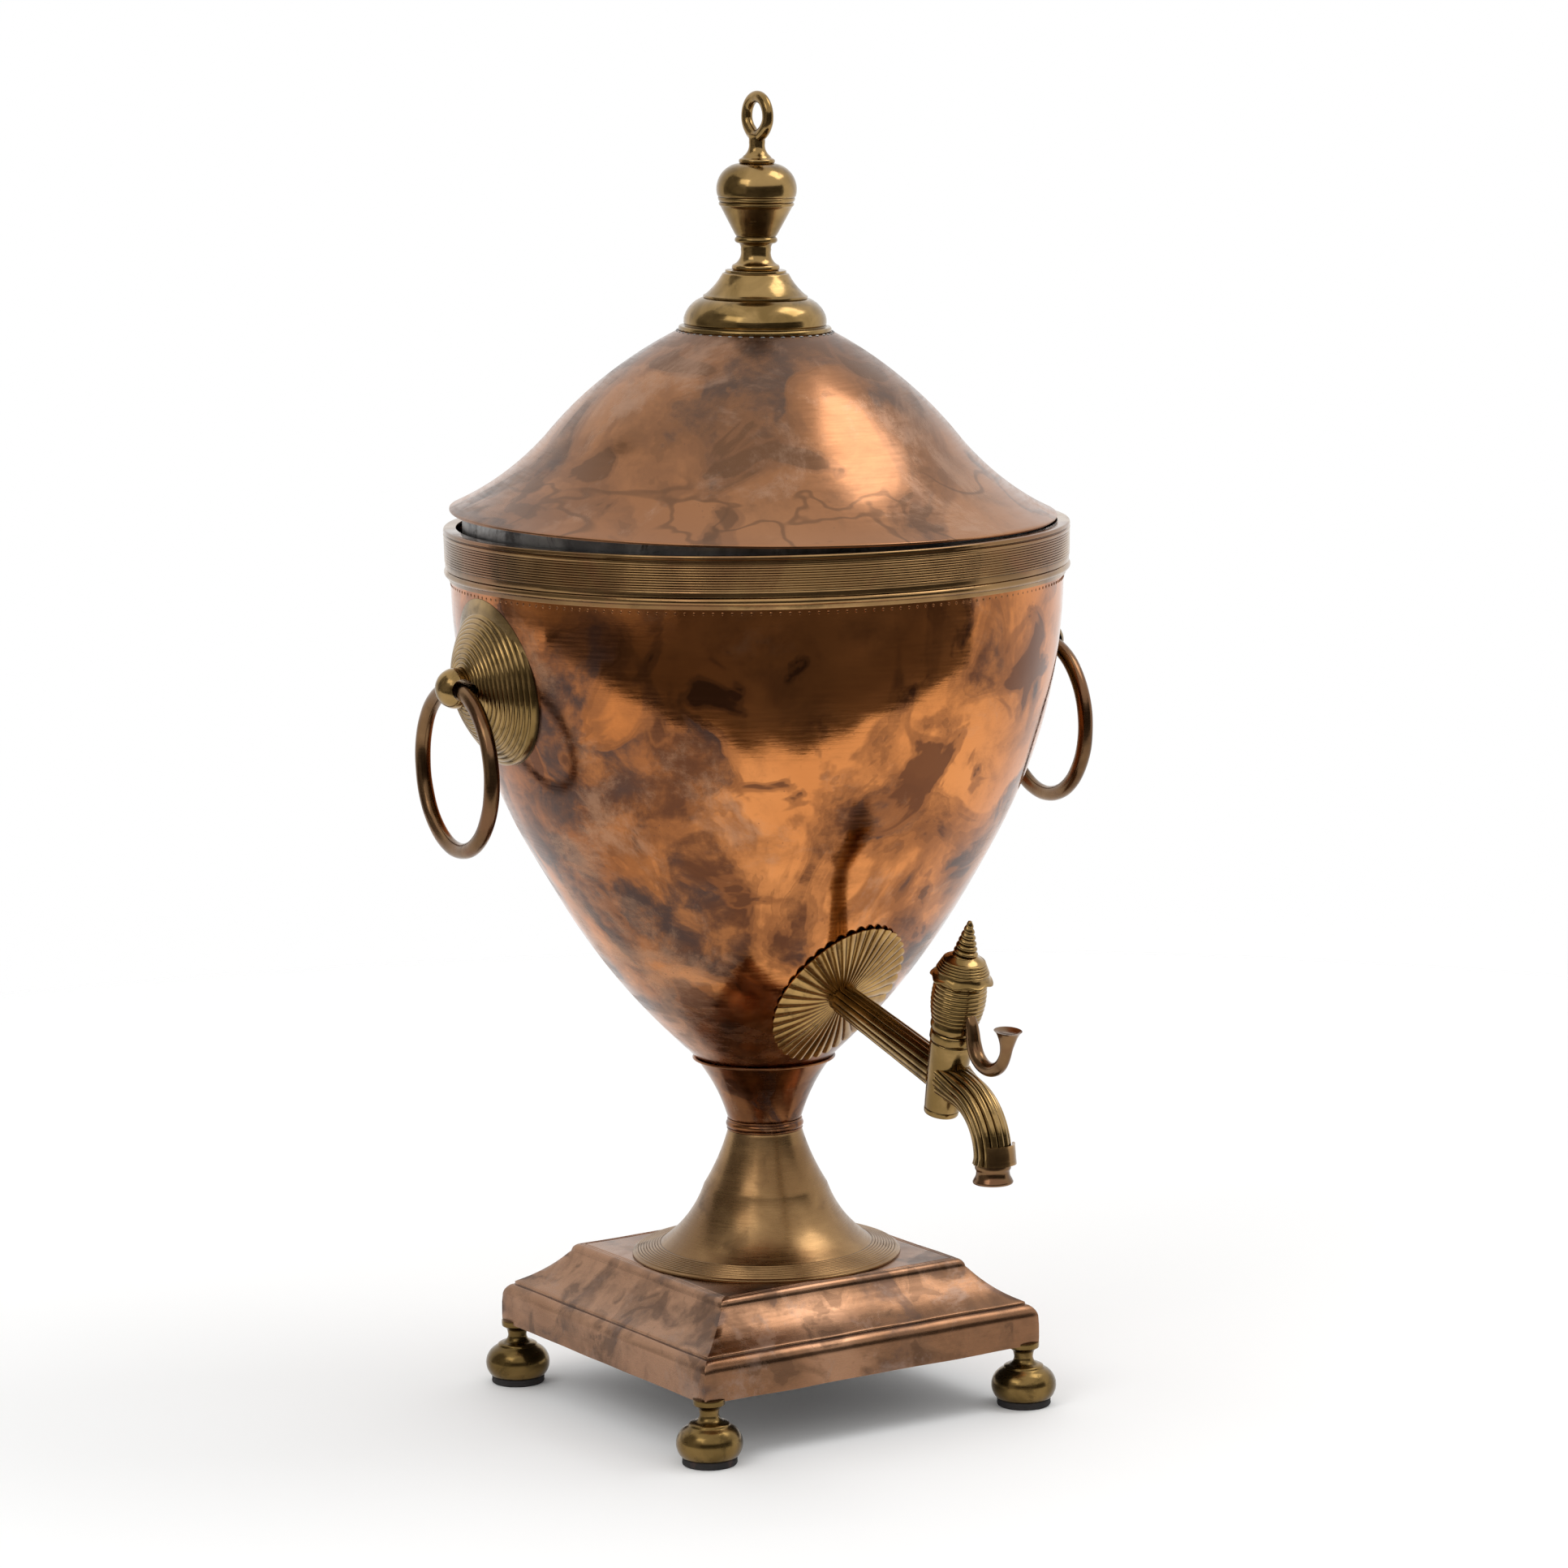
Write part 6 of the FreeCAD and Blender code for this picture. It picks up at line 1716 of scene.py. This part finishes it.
class Lid(SubAssembly[LidSizes]):
    """Spun copper lid with brass collars, a turned knob and a loop."""

    def __init__(self, sizes: LidSizes, finishes: Finishes) -> None:
        """Places the lid's own frame, which is shifted and tipped as the lid is.

        Args:
            sizes: Sizes of the lid.
            finishes: Finishes of the urn.
        """
        super().__init__(sizes, finishes)
        turn = math.radians(sizes.axis)
        raised = Vector((-math.sin(turn), math.cos(turn), 0)) * sizes.shift
        axis = Vector((math.cos(turn), math.sin(turn), 0))
        self.frame = (Matrix.Translation(raised + Vector((0, 0, sizes.height)))
                      @ Matrix.Rotation(math.radians(sizes.tilt), 4, axis))

    def build(self) -> None:
        """Builds the lid's visible pieces."""
        self.dome()
        self.dots()
        self.collars()
        self.knob()
        self.loop()

    def dome(self) -> None:
        """Coved and domed sheet with a thin brim."""
        line = Outline(123.2, 0).line(123.9, 0.1).line(123.9, 1.0)
        line.arc((104.0, 12.7), (84.8, 30.3), 34).arc((60.4, 54.9), (31.6, 73.7), 34)
        line.line(3.9, 73.7, 4).line(3.9, 72.6).line(31.2, 72.6)
        line.arc((59.7, 54.0), (84.0, 29.5), 20).arc((103.4, 11.7), (122.7, 0.1), 20)
        piece = Piece("lid_dome").lathe(line, steps=FINE_STEPS, soft=0.2).dented(0.3, 42.0, 13.0)
        piece.finish(self.frame, Body.LID, Slot.COPPER, self.finishes.lid_copper, ["lid_dome"])

    def dots(self) -> None:
        """Beads of solder round the foot of the lower collar."""
        s = self.sizes
        piece = Piece("collar_solder")
        for i in range(s.solder_dots):
            angle = FULL_TURN * (i + 0.3 * noise.noise(Vector((i * 1.7, 0, 0)))) / s.solder_dots
            piece.bead(s.solder_reach, angle, s.solder_height, s.solder_radius, (1.0, 1.6, 0.6), 2)
        piece.finish(self.frame, Body.LID, Slot.TIN, self.finishes.tin)

    def collars(self) -> None:
        """Domed lower collar and coved upper one."""
        line = Outline(26.9, 73.8).line(30.9, 73.8).arc((31.15, 74.8), (30.7, 75.7), 6).line(29.0, 75.9)
        line.line(28.7, 76.3).line(29.1, 76.9).line(29.0, 78.9).arc((27.0, 83.1), (21.7, 87.0), 14)
        line.line(3.6, 87.0).line(3.6, 85.0).line(19.7, 85.0).line(26.9, 79.0)
        lower = Piece("lid_collar_lower").lathe(line, steps=160, soft=0.2).dented(0.1, 14.0, 3.0)
        lower.finish(self.frame, Body.LID, Slot.BRASS, self.finishes.brass, ["lid_collar_lower"])
        line = Outline(19.2, 87.1).line(21.2, 87.1).line(21.3, 88.0).line(20.3, 88.5)
        line.arc((16.6, 92.2), (13.5, 96.9), 14).line(12.4, 97.3).line(12.4, 98.3)
        line.line(3.6, 98.3).line(3.6, 96.3).line(10.6, 96.3)
        upper = Piece("lid_collar_upper").lathe(line, steps=144, soft=0.2)
        upper.finish(self.frame, Body.LID, Slot.BRASS, self.finishes.brass, ["lid_collar_upper"])

    def knob(self) -> None:
        """Vase-shaped knob with rings at its waist and two lines round its belly."""
        z = self.sizes.knob_height
        line = Outline(0, z - 34).line(3.5, z - 34).line(3.5, z).line(9.3, z)
        line.arc((9.75, z + 1.0), (9.3, z + 2.0), 5).line(8.5, z + 2.4)
        line.arc((6.6, z + 4.6), (6.2, z + 8.2), 10).arc((6.4, z + 10.0), (7.0, z + 10.9), 5)
        line.arc((8.7, z + 11.9), (8.4, z + 12.9), 6).line(7.9, z + 13.4).line(8.6, z + 14.3)
        line.arc((11.6, z + 19.9), (14.6, z + 25.6), 16)
        line.line(15.2, z + 26.1).line(15.3, z + 26.9).line(14.8, z + 27.3).line(15.4, z + 27.9)
        line.line(15.7, z + 28.9).line(15.4, z + 29.3).line(15.9, z + 29.8)
        line.arc((16.3, z + 32.4), (16.0, z + 35.0), 8).arc((13.6, z + 39.6), (7.0, z + 42.9), 12)
        line.line(2.1, z + 42.9).line(2.1, z + 33.6).line(0, z + 33.6)
        piece = Piece("finial_knob").lathe(line, closed=False, steps=144, soft=0.18)
        piece.finish(self.frame, Body.LID, Slot.BRASS, self.finishes.brass, ["finial_knob"])

    def loop(self) -> None:
        """Flared stub that carries a slightly pear-shaped ring."""
        s = self.sizes
        z = s.loop_height
        line = Outline(0, z - 9).line(2.0, z - 9).line(2.0, z).line(7.0, z)
        line.arc((7.35, z + 0.8), (7.0, z + 1.6), 5).line(6.0, z + 2.1).line(5.4, z + 2.9)
        line.arc((3.7, z + 5.0), (3.3, z + 8.2), 10)
        line.arc((3.5, z + 10.4), (3.9, z + 11.4), 5).line(0, z + 12.2)
        piece = Piece("finial_loop").lathe(line, closed=False, steps=72, soft=0.2)
        middle = Vector((0, 0, s.loop_middle))

        def surface(share: float, around: float) -> Vector:
            """Ring that is narrower, with a thicker wire, near the stub.

            Args:
                share: Share of the way along.
                around: Share of the way round.

            Returns:
                Point of the surface.
            """
            turn = FULL_TURN * share
            angle = FULL_TURN * around
            low = max(0.0, -math.sin(turn))
            wire = s.loop_wire + 0.3 * low
            out = Vector((0, math.cos(turn) * (1 - 0.22 * low**2), math.sin(turn)))
            section = (out.normalized() * math.cos(angle) * wire
                       + Vector((1, 0, 0)) * math.sin(angle) * wire * 0.92)
            return middle + out * (s.loop_radius * (1 + 0.05 * math.sin(turn))) + section

        piece.skin(surface, 72, 24, capped=False)
        piece.finish(self.frame, Body.LID, Slot.BRASS, self.finishes.brass, ["finial_loop"])


class KeptNodes:
    """CAD nodes whose shape is right and that only need their finish."""

    def __init__(self, frame: dict, finishes: Finishes) -> None:
        """Keeps the loaded frame and the finishes."""
        self.frame = frame
        self.finishes = finishes

    def dress(self) -> None:
        """Gives each shown CAD node the material of its slot."""
        slots = {item["node"]: item["material_slot"] for item in self.frame["record"]["subparts"]}
        for name, node in self.frame["nodes"].items():
            if node.hide_render:
                continue
            material = self.finishes.for_slot(slots[name])
            if node.material_slots:
                node.material_slots[0].material = material
            else:
                node.data.materials.append(material)
            log.info("kept %s in %s", name, material.name)


@dataclass(frozen=True)
class StageSizes:
    """Floor, cards and lamps, in metres and watts."""

    floor: float = 4.0
    clear: float = 0.42
    faded: float = 1.3
    front: float = -122.4
    table_edge: float = 0.5
    edge_bow: float = 1.5
    card_foot: float = 0.003
    card_height: float = 1.5
    card_parts: int = 96
    card_reach: float = 3.2
    card_spread: float = 84.0
    left: float = 168.0
    wall_reach: float = 1.7
    wall_spread: float = 40.0
    wall_height: float = 2.4
    urn_middle: float = 0.28
    key_power: float = 7.0
    fill_power: float = 6.0
    sky: float = 0.96


@dataclass(frozen=True)
class CameraSizes:
    """Camera's direction from the urn in degrees, its place in metres, its lens and film in mm."""

    azimuth: float = -122.59
    elevation: float = 8.7939
    roll: float = -0.7467
    place: tuple[float, float, float] = (-1.158997, -1.831196, 0.59274)
    lens: float = 122.443
    film: float = 36.0


class Stage:
    """Pale floor, white surround, two cards that only reflections see, and soft lamps."""

    def __init__(self, sizes: StageSizes) -> None:
        """Keeps the stage's sizes."""
        self.sizes = sizes

    def build(self) -> None:
        """Builds the stage and the camera."""
        self.floor()
        self.world()
        self.cards()
        self.lamp("key", (0.95, -0.45, 1.75), (0.8, 0.8), self.sizes.key_power)
        self.lamp("fill", (-1.5, -0.5, 1.5), (0.9, 0.9), self.sizes.fill_power)
        self.camera()

    def floor(self) -> None:
        """Pale floor that catches the shadow and fades into the white surround."""
        bm = bmesh.new()
        bmesh.ops.create_grid(bm, x_segments=1, y_segments=1, size=self.sizes.floor / 2)
        floor = linked("floor", bm)
        g = Graph("pale_floor")
        colour = g.mix(g.share(g.noise(0.8, 2.0), 0.3, 0.7), (0.93, 0.93, 0.925), (0.95, 0.95, 0.945))
        shown = g.share(g.reach(), self.sizes.clear, self.sizes.faded, 1.0, 0.0)
        g.tree.links.new(shown, g.shader.inputs["Alpha"])
        floor.data.materials.append(g.dress(colour, 0.75, 0.0))

    def world(self) -> None:
        """White where it is seen or mirrored, and a plain soft light elsewhere."""
        world = bpy.data.worlds.new("surround")
        bpy.context.scene.world = world
        world.use_nodes = True
        tree = world.node_tree
        tree.nodes.clear()
        path = tree.nodes.new("ShaderNodeLightPath")
        seen = path.outputs["Is Camera Ray"]
        for ray in ("Is Glossy Ray", "Is Transmission Ray"):
            either = tree.nodes.new("ShaderNodeMath")
            either.operation = "MAXIMUM"
            tree.links.new(seen, either.inputs[0])
            tree.links.new(path.outputs[ray], either.inputs[1])
            seen = either.outputs[0]
        blend = tree.nodes.new("ShaderNodeMixShader")
        tree.links.new(seen, blend.inputs[0])
        for place, strength in enumerate((self.sizes.sky, 1.0), 1):
            glow = tree.nodes.new("ShaderNodeBackground")
            glow.inputs["Color"].default_value = (1, 1, 1, 1)
            glow.inputs["Strength"].default_value = strength
            tree.links.new(glow.outputs[0], blend.inputs[place])
        out = tree.nodes.new("ShaderNodeOutputWorld")
        tree.links.new(blend.outputs[0], out.inputs["Surface"])

    def cards(self) -> None:
        """Dark room in front of the table and a grey wall at the left, seen only in the metal."""
        s = self.sizes

        def table(share: float) -> float:
            """Reach of the table's edge, bowed and a little uneven."""
            bow = 1 + s.edge_bow * abs(share - 0.08) ** 2.2
            return s.table_edge * bow + 0.035 * noise.noise(Vector((share * 7.0, 0, 0)))

        self.card("dark_room", s.front, s.card_spread, [
            (table, s.card_foot), (lambda share: s.card_reach, s.card_foot),
            (lambda share: s.card_reach, s.card_height),
        ], (0.05, 0.045, 0.04), (0.10, 0.09, 0.08))
        self.card("left_wall", s.left, s.wall_spread, [
            (lambda share: s.wall_reach, s.card_foot), (lambda share: s.wall_reach, s.wall_height),
        ], (0.16, 0.15, 0.14), (0.30, 0.29, 0.28))

    def card(self, name: str, middle: float, spread: float,
             rows: Sequence[tuple[Callable[[float], float], float]], dark: Colour, light: Colour) -> None:
        """Adds a curved card that only mirrored rays see, and that casts no shadow.

        Args:
            name: Name of the card.
            middle: Direction of its middle, in degrees.
            spread: Half of its width, in degrees.
            rows: Reach across the card and height of each row.
            dark: Darkest tone.
            light: Lightest tone.
        """
        bm = bmesh.new()
        shares = [2 * i / self.sizes.card_parts - 1 for i in range(self.sizes.card_parts + 1)]
        made = []
        for reach, height in rows:
            row = []
            for share in shares:
                angle = math.radians(middle + spread * share)
                spot = (reach(share) * math.cos(angle), reach(share) * math.sin(angle), height)
                row.append(bm.verts.new(spot))
            made.append(row)
        for low, high in zip(made, made[1:]):
            for i in range(self.sizes.card_parts):
                bm.faces.new((low[i], low[i + 1], high[i + 1], high[i]))
        card = linked(name, bm)
        g = Graph(name)
        tone = g.mix(g.share(g.noise(1.5, 3.0), 0.3, 0.7), dark, light)
        card.data.materials.append(g.dress(tone, 0.9, 0.0))
        card.visible_camera = False
        card.visible_diffuse = False
        card.visible_shadow = False
        card.visible_transmission = False

    def lamp(self, name: str, place: tuple[float, float, float], size: Pair, power: float) -> None:
        """Adds a soft rectangular lamp that faces the middle of the urn.

        Args:
            name: Name of the lamp.
            place: Its place.
            size: Its width and height.
            power: Its power.
        """
        data = bpy.data.lights.new(name, "AREA")
        data.shape = "RECTANGLE"
        data.size, data.size_y = size
        data.energy = power
        lamp = bpy.data.objects.new(name, data)
        lamp.location = place
        lamp.rotation_mode = "QUATERNION"
        ahead = Vector((0, 0, self.sizes.urn_middle)) - Vector(place)
        lamp.rotation_quaternion = ahead.to_track_quat("-Z", "Y")
        bpy.context.scene.collection.objects.link(lamp)

    def camera(self) -> None:
        """Camera at the photograph's angle."""
        s = CameraSizes()
        data = bpy.data.cameras.new("camera")
        data.sensor_width = s.film
        data.lens = s.lens
        camera = bpy.data.objects.new("camera", data)
        turn = (Matrix.Rotation(math.radians(s.azimuth + 90), 4, "Z")
                @ Matrix.Rotation(math.radians(90 - s.elevation), 4, "X")
                @ Matrix.Rotation(math.radians(s.roll), 4, "Z"))
        camera.matrix_world = Matrix.Translation(s.place) @ turn
        bpy.context.scene.collection.objects.link(camera)
        bpy.context.scene.camera = camera


def main() -> None:
    """Loads the frame and builds every sub-assembly in order."""
    logging.basicConfig(level=logging.INFO, format="%(message)s")
    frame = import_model()
    finishes = Finishes()
    assemblies = (
        Base(BaseSizes(), finishes),
        Bowl(BowlSizes(), finishes),
        Handles(HandleSizes(), finishes),
        Tap(TapSizes(), finishes),
        Lid(LidSizes(), finishes),
    )
    for assembly in assemblies:
        assembly.build()
        log.info("%s is built", type(assembly).__name__)
    KeptNodes(frame, finishes).dress()
    Stage(StageSizes()).build()
    bpy.context.scene.view_settings.view_transform = "Standard"


if __name__ == "__main__":
    main()
